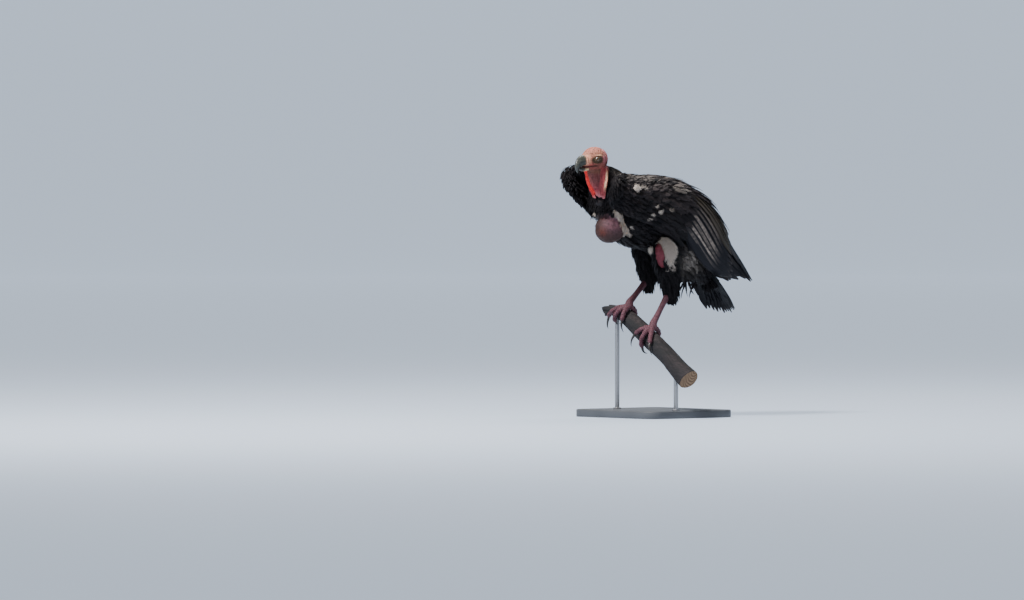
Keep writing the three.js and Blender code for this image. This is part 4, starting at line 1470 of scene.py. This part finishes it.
def together(*groups):
    """Several plantings as one. Each keeps to its own band of the bake map."""
    joined = {key: np.concatenate([group[key] for group in groups]) for key in groups[0]}
    bands = np.repeat(np.arange(len(groups)), [len(group["root"]) for group in groups])
    joined["root_map"][:, 1] = (joined["root_map"][:, 1] + bands) / len(groups)
    return joined


def kept_where(group, mask):
    return {key: values[mask] for key, values in group.items()}


def parted(group, inside, shares=(0, 0.35, 0.7, 1)):
    """Takes out the feathers that lie where inside says, at any of those shares of their length."""
    reach = group["lie"] * group["size"][:, :1]
    covering = np.zeros(len(group["root"]), bool)
    for share in shares:
        covering |= inside(group["root"] + reach * share) > 0.5
    return kept_where(group, ~covering)


def coat(name, group, finish, ruffle=5.0, replaces=()):
    """One piece of plumage: its roots as points, turned by the plumage tree into a plain mesh."""
    roots = bpy.data.meshes.new(f"{name}_roots")
    roots.from_pydata(metres(group["root"]).tolist(), [], [])
    for title, kind, values in (
        ("lie", "FLOAT_VECTOR", group["lie"]),
        ("facing", "FLOAT_VECTOR", group["facing"]),
        ("size", "FLOAT_VECTOR", group["size"] * 0.001),
        ("root_map", "FLOAT_VECTOR", group["root_map"]),
        ("shape", "INT", group["shape"].astype(np.int32)),
        ("tone", "FLOAT", group["tone"]),
        ("pale", "FLOAT", group["pale"]),
    ):
        layer = roots.attributes.new(title, kind, "POINT")
        layer.data.foreach_set("vector" if kind == "FLOAT_VECTOR" else "value", np.ravel(values))
    planting = keep(f"{name}_planting", roots)
    modifier = planting.modifiers.new("plumage", "NODES")
    modifier.node_group = plumage_nodes
    for title, value in (("Shapes", feather_shapes), ("Finish", finish), ("Ruffle", math.radians(ruffle))):
        modifier[plumage_inputs[title]] = value
    piece = keep(name, evaluated(planting, name))
    if replaces:
        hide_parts(*replaces)
    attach(piece, "root")
    return piece


def vane_map():
    """Across and along the vane, each from 0 to 1."""
    vane = Shade.node("ShaderNodeUVMap", {"uv_map": "vane"}).outputs[0]
    parts = Shade.node("ShaderNodeSeparateXYZ", Vector=vane)
    return Shade(parts.outputs[0]), Shade(parts.outputs[1])


def black_vane():
    """Black to dark grey-brown vanes, worn paler along the rim, with the fine slant of their barbs."""
    across, along = vane_map()
    from_shaft = (across - 0.5).maths("ABSOLUTE") * 2
    tone = attribute("tone")
    drift = noise(14, 3, 0.55)
    lines = Shade.node("ShaderNodeCombineXYZ", X=from_shaft * 7 + along * 5, Y=along * 1.4, Z=tone * 40)
    streak = noise(1.0, 4, 0.65, Shade(lines.outputs[0]))
    colour = blend(tone * (0.25 + 0.55 * tone) + drift * 0.15, srgb(2, 3, 7), srgb(66, 57, 56))
    colour = blend(streak.between(0.42, 0.7) * tone * 0.8, colour, srgb(72, 65, 66))
    colour = blend(along.between(0.5, 0.0) * 0.7, colour, srgb(3, 3, 5))
    rim = from_shaft.between(0.7, 1.0) * along.between(0.4, 0.95)
    colour = blend(rim * tone * 0.35, colour, srgb(92, 83, 80))
    down = blend(noise(420, 3, 0.6).between(0.3, 0.7), srgb(226, 204, 184), srgb(252, 242, 232))
    colour = blend(attribute("pale"), colour, down)
    barbs = (along * 170 + from_shaft * 90).maths("SINE")
    shaft = from_shaft.between(0.1, 0.0)
    return {
        "Base_Color": colour,
        "Roughness": 0.5 + 0.2 * from_shaft + 0.1 * drift,
        "Normal": relief(0.35 * barbs + 1.2 * shaft + 1.5 * streak, 0.0004, 0.6),
    }


plumage_finish = finish_material("black feather", black_vane, Specular_IOR_Level=0.1)

# ------------------------------------------------------------------ plumage of the trunk
# Broad black feathers with rounded tips, in staggered rows that run back from the breast to the rump. They
# part at the front, where the crop's bare skin hangs clear.
full_turn = 2 * math.pi
trunk_s, trunk_t = rows_on(trunk, (0.08, 0.985), (0, full_turn), 9.0, 21, loop=True)
trunk_feathers = planted(trunk, trunk_s, trunk_t, 44, 18, body_coat - 1, 1.0, "contour", 22, spread=0.2)
lateral = np.abs(np.cos(trunk_t)) > 0.8
hidden = lateral & (trunk_s > 0.22) & (trunk_s < 0.74) & (np.sin(trunk_t) > -0.42)
on_back = np.sin(trunk_t) > 0
trunk_feathers["tone"] *= np.where(on_back, 0.8, 0.25)
across, high = side_view(trunk_feathers["root"]).T
brown_flank = bell(np.hypot((across - 116) / 24, (high - 174) / 32), 1.0) * (trunk_feathers["root"][:, 0] > 0)
worn = np.maximum(0.3 * brown_flank, 0.08 * on_back)
trunk_feathers["pale"] = worn * dice(23).uniform(0.1, 1, len(trunk_s))


def at_bare_crop(points):
    """1 where the crop's bare skin and the band of down beside it have to show."""
    ball = np.linalg.norm((points - (6, -122, 238)) / (41, 44, 44), axis=-1) < 1
    return np.maximum(ball, in_crop_band(points))


def over_crop(points):
    """1 in front of the crop, where a feather would hide it, and on its far side, where nothing hangs."""
    across, high = np.moveaxis(side_view(points), -1, 0)
    round_it = np.hypot((across + 82) / 40, (high - 238) / 38) < 1
    beyond = (high < 262) & (across < -112) | (high < 282) & (across < -131)
    return ((round_it | beyond) & (points[..., 1] < -70)).astype(float)


coat("plumage_back", kept_where(trunk_feathers, ~hidden & on_back), plumage_finish)
belly = parted(kept_where(trunk_feathers, ~hidden & ~on_back), at_bare_crop)
coat("plumage_belly", belly, plumage_finish)


def flowing(root, direction, facing, length, width, lift, kind, seed, where, spread=0.15):
    """Feathers that lie along any direction: from each root, their tips raised by lift."""
    rng = dice(seed)
    count = len(root)
    facing = unit(facing)
    lie = unit(direction - np.einsum("ij,ij->i", direction, facing)[:, None] * facing)
    length = np.broadcast_to(np.asarray(length, float), count) * rng.uniform(1 - spread, 1 + spread, count)
    raised = facing * np.broadcast_to(np.asarray(lift, float), count)[:, None]
    lie = unit(lie * length[:, None] + raised)
    facing = unit(facing - np.einsum("ij,ij->i", facing, lie)[:, None] * lie)
    wide = width * rng.uniform(0.85, 1.15, count)
    return {
        "root": root,
        "lie": lie,
        "facing": facing,
        "size": np.column_stack([length, wide, length * rng.uniform(0.07, 0.12, count)]),
        "shape": rng.choice(shape_numbers[kind], count),
        "tone": rng.uniform(0, 1, count),
        "pale": np.zeros(count),
        "root_map": np.column_stack([*(0.01 + 0.98 * np.asarray(w, float) for w in where), np.zeros(count)]),
    }


def surface_frame(surface, s, t, depth=0.0):
    """Places on a surface with the directions along it and out of it."""
    here = surface(s, t, depth)
    ahead, behind = np.minimum(s + small_step, 1), np.maximum(s - small_step, 0)
    along = unit(surface(ahead, t, depth) - surface(behind, t, depth))
    out = unit(surface(s, t, 0.0) - surface(s, t, 1.0))
    return here, along, out


# ------------------------------------------------------------------ ruff and breast
# A collar of soft lance-shaped feathers round the foot of the bare neck, open in front where the lappets
# hang, and a fringe of short black hackles where the crop leaves the breast.
ruff_s, ruff_t = rows_on(ruff, (0.0, 0.97), (0, full_turn), 7.0, 41, loop=True)
here, along, out = surface_frame(ruff, ruff_s, ruff_t, 13.0)
sag = unit(along + 0.25 * -UP)
across, high = side_view(here).T
above_crop = bell(np.hypot((across + 80) / 48, (high - 298) / 28), 1.0)
long = (38 - 8 * ruff_s) * (1 - 0.6 * above_crop)
collar = flowing(here, sag, out, long, 9 + 3 * ruff_s, 9, "hackle", 42, (ruff_s, ruff_t / full_turn))
front = np.sin(ruff_t)
bib_half = 34 * ramp(here[:, 2], 312, 400) ** 0.6
on_bib = (front > 0) & (np.abs(here[:, 0] - 5) < bib_half) & (here[:, 2] > 332)
collar["tone"] = (0.1 + 0.6 * collar["tone"]) * ramp(ruff_s, 0.75, 0.2)
collar["pale"] = 0.1 * collar["tone"] * ramp(front, 0.0, -0.6)
collar = parted(kept_where(collar, ~on_bib), at_bare_crop, (0, 0.25, 0.5, 0.75, 1))
coat("plumage_ruff", parted(collar, over_crop, (0, 0.4, 0.8)), plumage_finish, ruffle=7)

crop_s, crop_t = rows_on(crop, (0.02, 0.62), (0, full_turn), 5.5, 43, loop=True)
here, along, out = surface_frame(crop, crop_s, crop_t, 2.0)
edge = (here - (6, -108, 242)) @ unit(np.array((0.35, -0.85, -0.35)))
fringe = flowing(here, along + 0.4 * out, out, 14, 4.5, 5, "hackle", 44, (crop_s, crop_t / full_turn))
fringe["tone"] *= 0.3
fringe = kept_where(fringe, edge < -6 - 6 * wrinkle(here, 14.0))
coat("plumage_crop_fringe", fringe, plumage_finish, ruffle=14)

# ------------------------------------------------------------------ wings
# The coverts overlap like slates: short ones over the shoulder, longer ones behind. Small feathers wrap the
# wrist and line the inner side of the arm.


class WingLining:
    """The inner side of the folded arm, as a surface like the wing's own."""

    def __init__(self, wing):
        self.wing = wing

    def __call__(self, s, t, depth=0.0):
        return self.wing(s, t, through(self.wing.thickness, s) + 3 - depth)


class Wrist:
    """The rounded leading edge of the folded wing: s runs up round it, t from the inner side outwards."""

    def __init__(self, wing):
        self.wing = wing

    def __call__(self, s, t, depth=0.0):
        s, t, depth = np.broadcast_arrays(*(np.asarray(v, float) for v in (s, t, depth)))
        bend = (2 * s - 1) * math.radians(88)
        edge_s = 0.03 + 0.1 * (1 - np.cos(bend)) ** 1.5
        edge_t = 0.46 + np.where(bend < 0, 0.42, 0.5) * np.sin(bend)
        thick = 0.48 * through(self.wing.thickness, edge_s)
        middle = self.wing(edge_s, edge_t, thick)
        outer = unit(self.wing(edge_s, edge_t, 0.0) - middle)
        inside = self.wing(0.24 + 0 * s, 0.46 + 0 * s, thick)
        away = middle - inside
        away = unit(away - np.einsum("...i,...i->...", away, outer)[..., None] * outer)
        angle = (t - 0.5) * math.radians(240)
        tall = (thick * (0.75 + 0.25 * np.cos(bend)) - depth)[..., None]
        return middle + tall * (outer * np.sin(angle)[..., None] + away * np.cos(angle)[..., None])


def rounded_front(s, t):
    """Draws the ends of the front rows in, so that they follow the curve of the wrist."""
    return s, 0.46 + (t - 0.46) * np.sqrt(1 - (1 - np.clip(0.35 + s / 0.22, 0, 1)) ** 2)


for name in SIDES:
    wing = wings[name]
    front = rounded_front(*rows_on(wing, (0.03, 0.17), (0.0, 1.0), 7.0, 32))
    lesser = planted(wing, *front, 32 + 70 * front[0], 12 + 30 * front[0], 12, 0.5, "contour", 33, spread=0.2)
    middle = rows_on(wing, (0.17, 0.29), (0.0, 1.0), 10.5, 34)
    median = planted(wing, *middle, 56, 19, 12, 0.5, "covert", 35, drift=-0.02, spread=0.18)
    rear = rows_on(wing, (0.28, 0.4), (0.0, 1.0), 13.5, 36)
    greater = planted(wing, *rear, 84, 23, 11, 1.0, "covert", 37, drift=-0.06, spread=0.15)
    for group, place in ((lesser, front), (median, middle), (greater, rear)):
        group["tone"] *= 0.4 + 0.6 * ramp(place[1] + 0.5 * place[0], 0.15, 0.7)
        group["pale"] += 0.16 * group["tone"] * ramp(place[1], 0.62, 0.9)
    edge_s, edge_t = rows_on(Wrist(wing), (0.0, 1.0), (0.0, 1.0), 6.5, 38)
    here, _, out = surface_frame(Wrist(wing), edge_s, edge_t, 2.5)
    drape = -UP + 0.45 * unit(wing(0.2, 0.46) - wing(0.05, 0.46))
    wrapped = flowing(here, drape + 0 * here, out, 20, 10, -1.5, "contour", 39, (edge_s, edge_t))
    wrapped["tone"] *= 0.3
    inner_s, inner_t = rows_on(WingLining(wing), (0.07, 0.42), (0.06, 0.84), 8.5, 40)
    here, _, out = surface_frame(WingLining(wing), inner_s, inner_t, 8.0)
    lining = flowing(here, drape + 0 * here, out, 28, 12, 1.5, "contour", 45, (inner_s, inner_t))
    lining["tone"] *= 0.25
    coat(
        f"wing_{name}_lesser_coverts",
        together(lesser, wrapped, lining),
        plumage_finish,
        ruffle=4,
        replaces=(f"wing_{name}_coverts",),
    )
    coat(f"wing_{name}_greater_coverts", together(median, greater), plumage_finish, ruffle=2.5)


def on_surface(surface, spot, samples=(60, 90), sides=(0, full_turn)):
    """The two coordinates of the surface's nearest place to a spot."""
    s, t = np.meshgrid(np.linspace(0.02, 0.98, samples[0]), np.linspace(*sides, samples[1]), indexing="ij")
    apart = np.linalg.norm(surface(s.ravel(), t.ravel()) - spot, axis=1)
    nearest = apart.argmin()
    return s.ravel()[nearest], t.ravel()[nearest]


def facing_point(limb, across, high, angles):
    """The place on the outer side of a limb that lies at those side-view coordinates."""
    s, t = np.meshgrid(np.linspace(0.0, 1.0, 80), np.linspace(*angles, 90), indexing="ij")
    places = limb(s.ravel(), t.ravel())
    apart = np.linalg.norm(side_view(places) - (across, high), axis=1)
    outward = unit(places - limb(s.ravel(), t.ravel(), 5.0)) @ towards_camera
    return places[np.where(outward > 0.15, apart, 1e3).argmin()]


# The scapulars are long pointed feathers that fall back over the top of the folded wing. Their tips stand
# clear of it in a ragged line, and on the left a few of them are worn pale.
for name in SIDES:
    wing = wings[name]
    scapular_s, scapular_t = rows_on(wing, (0.2, 0.64), (0.74, 1.04), 12.5, 51)
    long = 52 + 66 * scapular_s
    loose = (dice(52).uniform(0, 1, len(scapular_s)) > 0.75) & (scapular_s > 0.36)
    lifted = np.where(loose, -4.0, 1.5)
    places = (scapular_s, scapular_t)
    scapulars = planted(wing, *places, long, 20, 9, lifted, "pointed", 53, drift=-0.03, spread=0.2)
    if name == "left":
        worn = facing_point(wing, 78, 356, (0.0, 1.0))
        worn_s, worn_t = (np.full(3, place) for place in on_surface(wing, worn, sides=(0.0, 1.0)))
        worn_t = worn_t + (0.02, -0.02, -0.06)
        pale_ones = planted(wing, worn_s, worn_t, (50, 64, 56), 20, 3, -5, "covert", 54, drift=-0.05)
        pale_ones["pale"] = np.array((0.1, 0.15, 0.08))
        scapulars = together(scapulars, pale_ones)
    coat(f"wing_{name}_scapulars", scapulars, plumage_finish, ruffle=3)

# ------------------------------------------------------------------ flight feathers
# Stiff quills with a shaft and two webs: secondaries and tertials over the primaries in each wing, and
# twelve in the tail. The outer webs of the secondaries are silvery tan.


def quill(path, facing, half, outline, rows=30, across_steps=9, thick=0.9, cup=2.2, seed=0, splits=2):
    """One quill as a closed sheet along a path of points, cupped over its shaft, with a few parted barbs."""
    rng = dice(seed)
    v = np.linspace(0, 1, rows + 1)
    line = through(path, v)
    normal = unit(through(facing, v))
    run = unit(np.gradient(line, axis=0))
    sideways = unit(np.cross(normal, run))
    wide = half * through(outline, v)
    a = np.linspace(-1, 1, across_steps)
    webs = np.ones((rows + 1, across_steps))
    for _ in range(splits):
        row = rng.integers(int(rows * 0.5), rows - 1)
        side = rng.integers(0, 2)
        cut = bell(np.arange(rows + 1) - row, 0.8)
        webs[:, 0 if side else -1] *= 1 - 0.35 * cut
    top, under = [], []
    for k in range(rows + 1):
        flat = line[k] + sideways[k] * (a * wide[k] * webs[k])[:, None]
        ripple = 0.25 * np.sin(9 * v[k] + 4 * a + seed)
        shaft = 0.9 * bell(a, 0.16) * (1 - 0.7 * v[k])
        high = cup * (1 - a * a) * min(1, wide[k] / half + 0.1) + ripple + shaft
        top.append(flat + normal[k] * high[:, None])
        body = thick * (1 - 0.55 * v[k]) * (1 - 0.6 * np.abs(a)) + 0.35
        under.append(flat + normal[k] * (high - shaft * 0.3 - body)[:, None])
    ring = np.concatenate([np.array(top), np.array(under)[:, ::-1]], axis=1)
    points, faces = tube_faces(ring)
    across = np.concatenate([a, a[::-1]])
    return points, faces, np.tile(across, rows + 1), np.repeat(v, 2 * across_steps)


def quill_mesh(name, quills, marks):
    """Joins quills into one mesh. Each quill has a strip of the bake map of its own."""
    mesh = mesh_of(name, [made[:2] for made in quills])
    web = np.concatenate([made[2] for made in quills])
    along = np.concatenate([made[3] for made in quills])
    number = np.repeat(np.arange(len(quills)), [len(made[0]) for made in quills])
    corners = np.empty(len(mesh.loops), int)
    mesh.loops.foreach_get("vertex_index", corners)
    place = np.column_stack([(number + 0.5 + 0.46 * web) / len(quills), 0.01 + 0.98 * along])
    for title, spots in (("OFBake", place), ("vane", np.column_stack([0.5 + 0.5 * web, along]))):
        layer = mesh.uv_layers.new(name=title)
        layer.data.foreach_set("uv", spots[corners].astype(np.float32).ravel())
    add_values(mesh, **{title: np.asarray(values, float)[number] for title, values in marks.items()})
    return mesh


def quill_web():
    """A dark vane. Its lower web is silvery tan where silver is 1, and dark again towards the tip."""
    across, along = vane_map()
    from_shaft = (across - 0.5).maths("ABSOLUTE") * 2
    drift = noise(30, 4, 0.6)
    streak = noise(340, 3, 0.6, position((1, 0.25, 0.35)))
    colour = blend(attribute("tone") * 0.6 + streak * 0.4, srgb(3, 4, 8), srgb(26, 24, 30))
    lower = across.between(0.46, 0.38) * across.between(0.04, 0.14)
    silver = blend(streak.between(0.3, 0.7), srgb(104, 94, 88), srgb(186, 168, 154))
    fade = along.between(0.86, 0.6) * along.between(0.2, 0.34)
    colour = blend(lower * fade * attribute("silver") * (0.65 + 0.35 * drift), colour, silver)
    colour = blend(attribute("olive") * (0.4 + 0.4 * drift), colour, srgb(74, 64, 50))
    colour = blend(from_shaft.between(0.12, 0.04) * 0.6, colour, srgb(8, 7, 8))
    colour = blend(along.between(0.93, 1.0) * 0.3, colour, srgb(88, 80, 76))
    barbs = (along * 420 + from_shaft * 120).maths("SINE")
    return {
        "Base_Color": colour,
        "Roughness": 0.38 + 0.22 * streak,
        "Normal": relief(0.35 * barbs + 0.5 * streak, 0.0004, 0.5),
    }


quill_finish = finish_material("quill", quill_web, Specular_IOR_Level=0.12)
blunt_tip = (0.35, 0.62, 0.86, 0.98, 1.0, 0.98, 0.86, 0.1)
round_tip = (0.4, 0.7, 0.92, 1.0, 0.98, 0.92, 0.74, 0.12)
secondary_count = 13
quill_keys = 7
primary_reach = (0.35, 0.405, 0.395, 0.43, 0.46, 0.465)


def wing_quill(wing, spots, depths, half, outline, seed, roll):
    """A quill along places on the wing. roll tips its upper edge under the quill above."""
    s, t = np.array(spots).T
    middle = wing(s, t, depths)
    out = unit(wing(s, t, 0.0) - wing(s, t, 1.0))
    upwards = unit(wing(s, t + 0.02, depths) - wing(s, t - 0.02, depths))
    return quill(middle, unit(out + roll * upwards), half, outline, seed=seed)


for name, side in SIDES.items():
    wing = wings[name]
    quills, silver, olive = [], [], []
    v = np.linspace(0, 1, quill_keys)
    for i, far in enumerate(primary_reach):
        u = (i + 0.45) / len(primary_reach)
        share = v * far
        t = (1 - 2 * share) * (0.05 + 0.5 * u) + 2 * share * (1.02 * u - 0.19)
        depth = 13 - 10 * share - 0.5 * i
        quills.append(wing_quill(wing, np.column_stack([0.53 + share, t]), depth, 17, round_tip, i, 0.1))
        silver.append(0.12)
        olive.append(0.0)
    for i in range(secondary_count):
        u = (i + 0.5) / secondary_count
        far = 0.44 + 0.045 * math.cos(3 * u) - 0.03 * u + 0.016 * (i % 2)
        share = v * far
        t = (1 - v) * (0.14 + 0.9 * u) + v * (-0.02 + 0.94 * u)
        depth = 10.5 - 15 * share - 0.12 * i
        half = 14.5 + 2 * math.sin(2.1 * i)
        spots = np.column_stack([0.4 + share, t])
        quills.append(wing_quill(wing, spots, depth, half, blunt_tip, 20 + i, 0.17))
        stripe = {1: 0.3, 2: 1.0, 3: 0.4, 4: 0.75, 5: 0.3, 6: 0.5, 7: 0.25, 8: 0.3}.get(i, 0.0)
        silver.append(stripe)
        olive.append(0.9 if i >= 7 else 0.0)
    tones = dice(61).uniform(0, 1, len(quills))
    mesh = quill_mesh(f"wing_{name}_quills", quills, {"silver": silver, "olive": olive, "tone": tones})
    piece = keep(mesh.name, mesh, quill_finish)
    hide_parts(f"wing_{name}_secondaries", f"wing_{name}_primaries")
    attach(piece, "root")

tail_root = np.array((0.0, 158.0, 192.0))
tail_pitch = math.radians(53)
tail_down = np.array((0, math.cos(tail_pitch), -math.sin(tail_pitch)))
tail_back = np.array((0, math.sin(tail_pitch), math.cos(tail_pitch)))
tail_length = 228.0
tail_count = 12
quills = []
for i in range(tail_count):
    across = (2 * i - 11) / 12
    far = 1 - 0.08 * (2 * i / 11 - 1) ** 2 + 0.016 * math.cos(2.4 * i)
    v = np.linspace(0, 1, quill_keys)[:, None] * far
    spread = across * math.radians(8)
    path = (
        tail_root
        + tail_down * tail_length * v * math.cos(spread)
        + LEFTWARD * (across * 33 + tail_length * v * math.sin(spread))
        + tail_back * (10 * np.sin(2.6 * v) - 9 * across**2 - 0.5 * abs(i - 5.5))
    )
    facing = np.tile(unit(tail_back + 0.3 * across * LEFTWARD), (quill_keys, 1))
    quills.append(quill(path, facing, 15, round_tip, seed=80 + i, splits=4))
tones = dice(62).uniform(0, 0.6, tail_count)
plain = np.zeros(tail_count)
mesh = quill_mesh("tail_quills", quills, {"silver": plain, "olive": plain, "tone": tones})
tail = keep("tail_quills", mesh, quill_finish)
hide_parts("tail")
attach(tail, "root")

# ------------------------------------------------------------------ trousers
# Loose black feathers hang over the thighs and end in ragged points behind the hock. On the outer side of the
# left thigh they part round a bare red patch, rimmed with white down.
for name, side in SIDES.items():
    limb = thighs[name]
    thigh_s, thigh_t = rows_on(limb, (0.02, 0.86), (0, full_turn), 7.0, 71, loop=True)
    long = np.minimum(34 + 6 * thigh_s, 3 + 110 * (1 - thigh_s))
    trousers = planted(limb, thigh_s, thigh_t, long, 13, thigh_coat - 1, 0.5, "pointed", 72, spread=0.25)
    trousers["tone"] *= 0.2
    if name == "left":
        trousers = parted(trousers, in_bare_patch)
        trousers = kept_where(trousers, in_white_down(trousers["root"]) < 0.5)
    coat(f"plumage_thigh_{name}", trousers, plumage_finish, ruffle=9)

# A few loose plumes hang from the vent in front of the tail.
rng = dice(73)
vent_count = 22
vent_y = rng.uniform(136, 176, vent_count)
vent = np.column_stack([rng.uniform(-30, 30, vent_count), vent_y, 106 - 0.3 * (vent_y - 136)])
hang = np.array((0.0, 0.35, -1.0)) + rng.uniform(-0.25, 0.25, (vent_count, 3))
where = (vent[:, 0] / 70 + 0.5, (vent_y - 130) / 50)
plumes = flowing(vent, hang, AHEAD + 0 * vent, 36, 8, 0, "pointed", 74, where, spread=0.4)
plumes["tone"] *= 0.5
coat("plumage_vent", plumes, plumage_finish, ruffle=12)

# ------------------------------------------------------------------ white down
# Patches of cream-white down show where the black feathers part: round the bare skin of the left thigh,
# beside the crop, at the side of the neck and in a few flecks on the flank and shoulder.


def fluff(surface, seen, radii, count, length, seed, kind="down", depth=7.0, pale=1.0):
    """A patch of down at a place of the side view, thick in the middle and thin at its rim."""
    rng = dice(seed)
    sides = (0.0, 1.0) if isinstance(surface, Wing) else (0, full_turn)
    middle_s, middle_t = on_surface(surface, facing_point(surface, *seen, sides), sides=sides)
    here = surface(np.array([middle_s]), np.array([middle_t]))[0]
    per_s = np.linalg.norm(surface(middle_s + 0.01, middle_t) - here) / 0.01
    per_t = np.linalg.norm(surface(middle_s, middle_t + 0.01) - here) / 0.01
    angle, out = rng.uniform(0, full_turn, count), np.sqrt(rng.uniform(0, 1, count))
    off_s, off_t = out * np.cos(angle), out * np.sin(angle)
    s = np.clip(middle_s + off_s * radii[0] / per_s, 0, 1)
    t = middle_t + off_t * radii[1] / per_t
    root, along, outward = surface_frame(surface, s, t, depth)
    drift = unit(np.cross(outward, along))
    lie = along + drift * rng.uniform(-0.8, 0.8, count)[:, None]
    where = (off_s, off_t)
    made = flowing(root, lie, outward, length, length * 0.55, length * 0.4, kind, seed + 1, where)
    made["size"][:, 2] = made["size"][:, 0] * 0.22
    made["root_map"] = np.column_stack([0.5 + 0.48 * off_s, 0.5 + 0.48 * off_t, 0 * s])
    made["pale"] = np.full(count, pale) * rng.uniform(0.92, 1, count)
    return made


near_thigh = thighs["left"]
thigh_down = together(
    fluff(near_thigh, (76, 186), (46, 34), 1100, 12, 201, pale=0.88),
    fluff(near_thigh, (41, 176), (30, 5), 60, 10, 203),
    fluff(near_thigh, (27, 182), (9, 11), 90, 12, 205, depth=-1.0, pale=0.85),
    fluff(near_thigh, (80, 146), (16, 12), 46, 20, 207, kind="wisp"),
)
thigh_down = parted(thigh_down, in_bare_patch)
in_place = (in_white_down(thigh_down["root"]) > 0.3) | (thigh_down["root_map"][:, 1] > 0.25)
thigh_down = kept_where(thigh_down, in_place)
coat("down_thigh", thigh_down, plumage_finish, ruffle=16)


def band_down(count, length, seed):
    """The strip of down beside the crop, rooted in the skin. Its bake map unwraps the crop like a globe."""
    rng = dice(seed)
    outward = vertex_normals(body_points, body_faces)
    in_band = (in_crop_band(body_points) > 0.4) & (outward[:, 0] > -0.2)
    chosen = rng.choice(np.flatnonzero(in_band), count)
    root, out = body_points[chosen] + rng.uniform(-1.2, 1.2, (count, 3)), outward[chosen]
    away = unit(root - crop.keys[2, :3])
    where = (0.5 + np.arctan2(away[:, 0], -away[:, 1]) / full_turn, np.arccos(away[:, 2]) / math.pi)
    lie = np.array((0.3, 0.2, -1.0)) + rng.uniform(-0.5, 0.5, (count, 3))
    made = flowing(root - out, lie, out, length, length * 0.55, length * 0.35, "down", seed + 1, where)
    made["size"][:, 2] = made["size"][:, 0] * 0.2
    made["pale"] = rng.uniform(0.6, 0.8, count)
    return made


left_wing = wings["left"]
marks = together(
    band_down(420, 9, 211),
    fluff(ruff, (-54, 294), (10, 6), 50, 10, 225, depth=-3.0, pale=0.7),
    fluff(ruff, (-127, 276), (4, 6), 16, 8, 215, depth=2.0, pale=0.5),
    fluff(left_wing, (-16, 346), (9, 7), 110, 11, 217, depth=0.0),
    fluff(left_wing, (2, 345), (14, 6), 20, 11, 227, depth=0.0, pale=0.5),
    fluff(left_wing, (42, 284), (5, 4), 26, 11, 219, depth=0.0, pale=0.9),
    fluff(left_wing, (37, 297), (5, 3), 8, 10, 237, depth=0.0, pale=0.6),
    fluff(left_wing, (27, 276), (7, 3), 14, 10, 221, depth=0.0, pale=0.8),
    fluff(left_wing, (20, 263), (6, 3), 10, 9, 233, depth=0.0, pale=0.6),
    fluff(trunk, (-29, 243), (5, 1), 9, 12, 223, kind="wisp", depth=0.0, pale=0.85),
    fluff(left_wing, (72, 288), (8, 4), 12, 11, 231, depth=0.0, pale=0.25),
)
coat("down_marks", marks, plumage_finish, ruffle=16)

# ------------------------------------------------------------------ bristles
# Fine dark bristles grow singly from the bare skin behind the eye and down the nape, and a very few on the
# front of the head. They are soft hair-like feathers, too thin to hide the skin.
on_scalp = np.linalg.norm(head_points - head_place, axis=1) < 70
scalp = head_points[on_scalp]
scalp_normals = vertex_normals(head_points, head_faces)[on_scalp]
local = off_head(scalp)
hairy = ramp(local[:, 1], 6, 34) * ramp(local[:, 2], -30, -18) * 0.9 + 0.035 * ramp(local[:, 1], -30, -10)
rng = dice(231)
chosen = rng.uniform(0, 1, len(scalp)) < hairy * 0.05
root, out = scalp[chosen] - scalp_normals[chosen] * 0.6, scalp_normals[chosen]
down_back = np.tile(np.array((0.1, 0.7, -0.7)), (len(root), 1))
places = off_head(root)
round_head = 0.5 + np.arctan2(places[:, 0], places[:, 1]) / (full_turn + 0.1)
where = (round_head, np.clip(0.5 + places[:, 2] / 90, 0, 1))
bristles = flowing(root, down_back, out, 7.5, 5.0, 3.2, "bristle", 232, where, spread=0.4)
bristles["tone"] *= 0.4
coat("head_bristles", bristles, plumage_finish, ruffle=20)

for shape in list(feather_shapes.objects):
    bpy.data.objects.remove(shape)
bpy.data.collections.remove(feather_shapes)
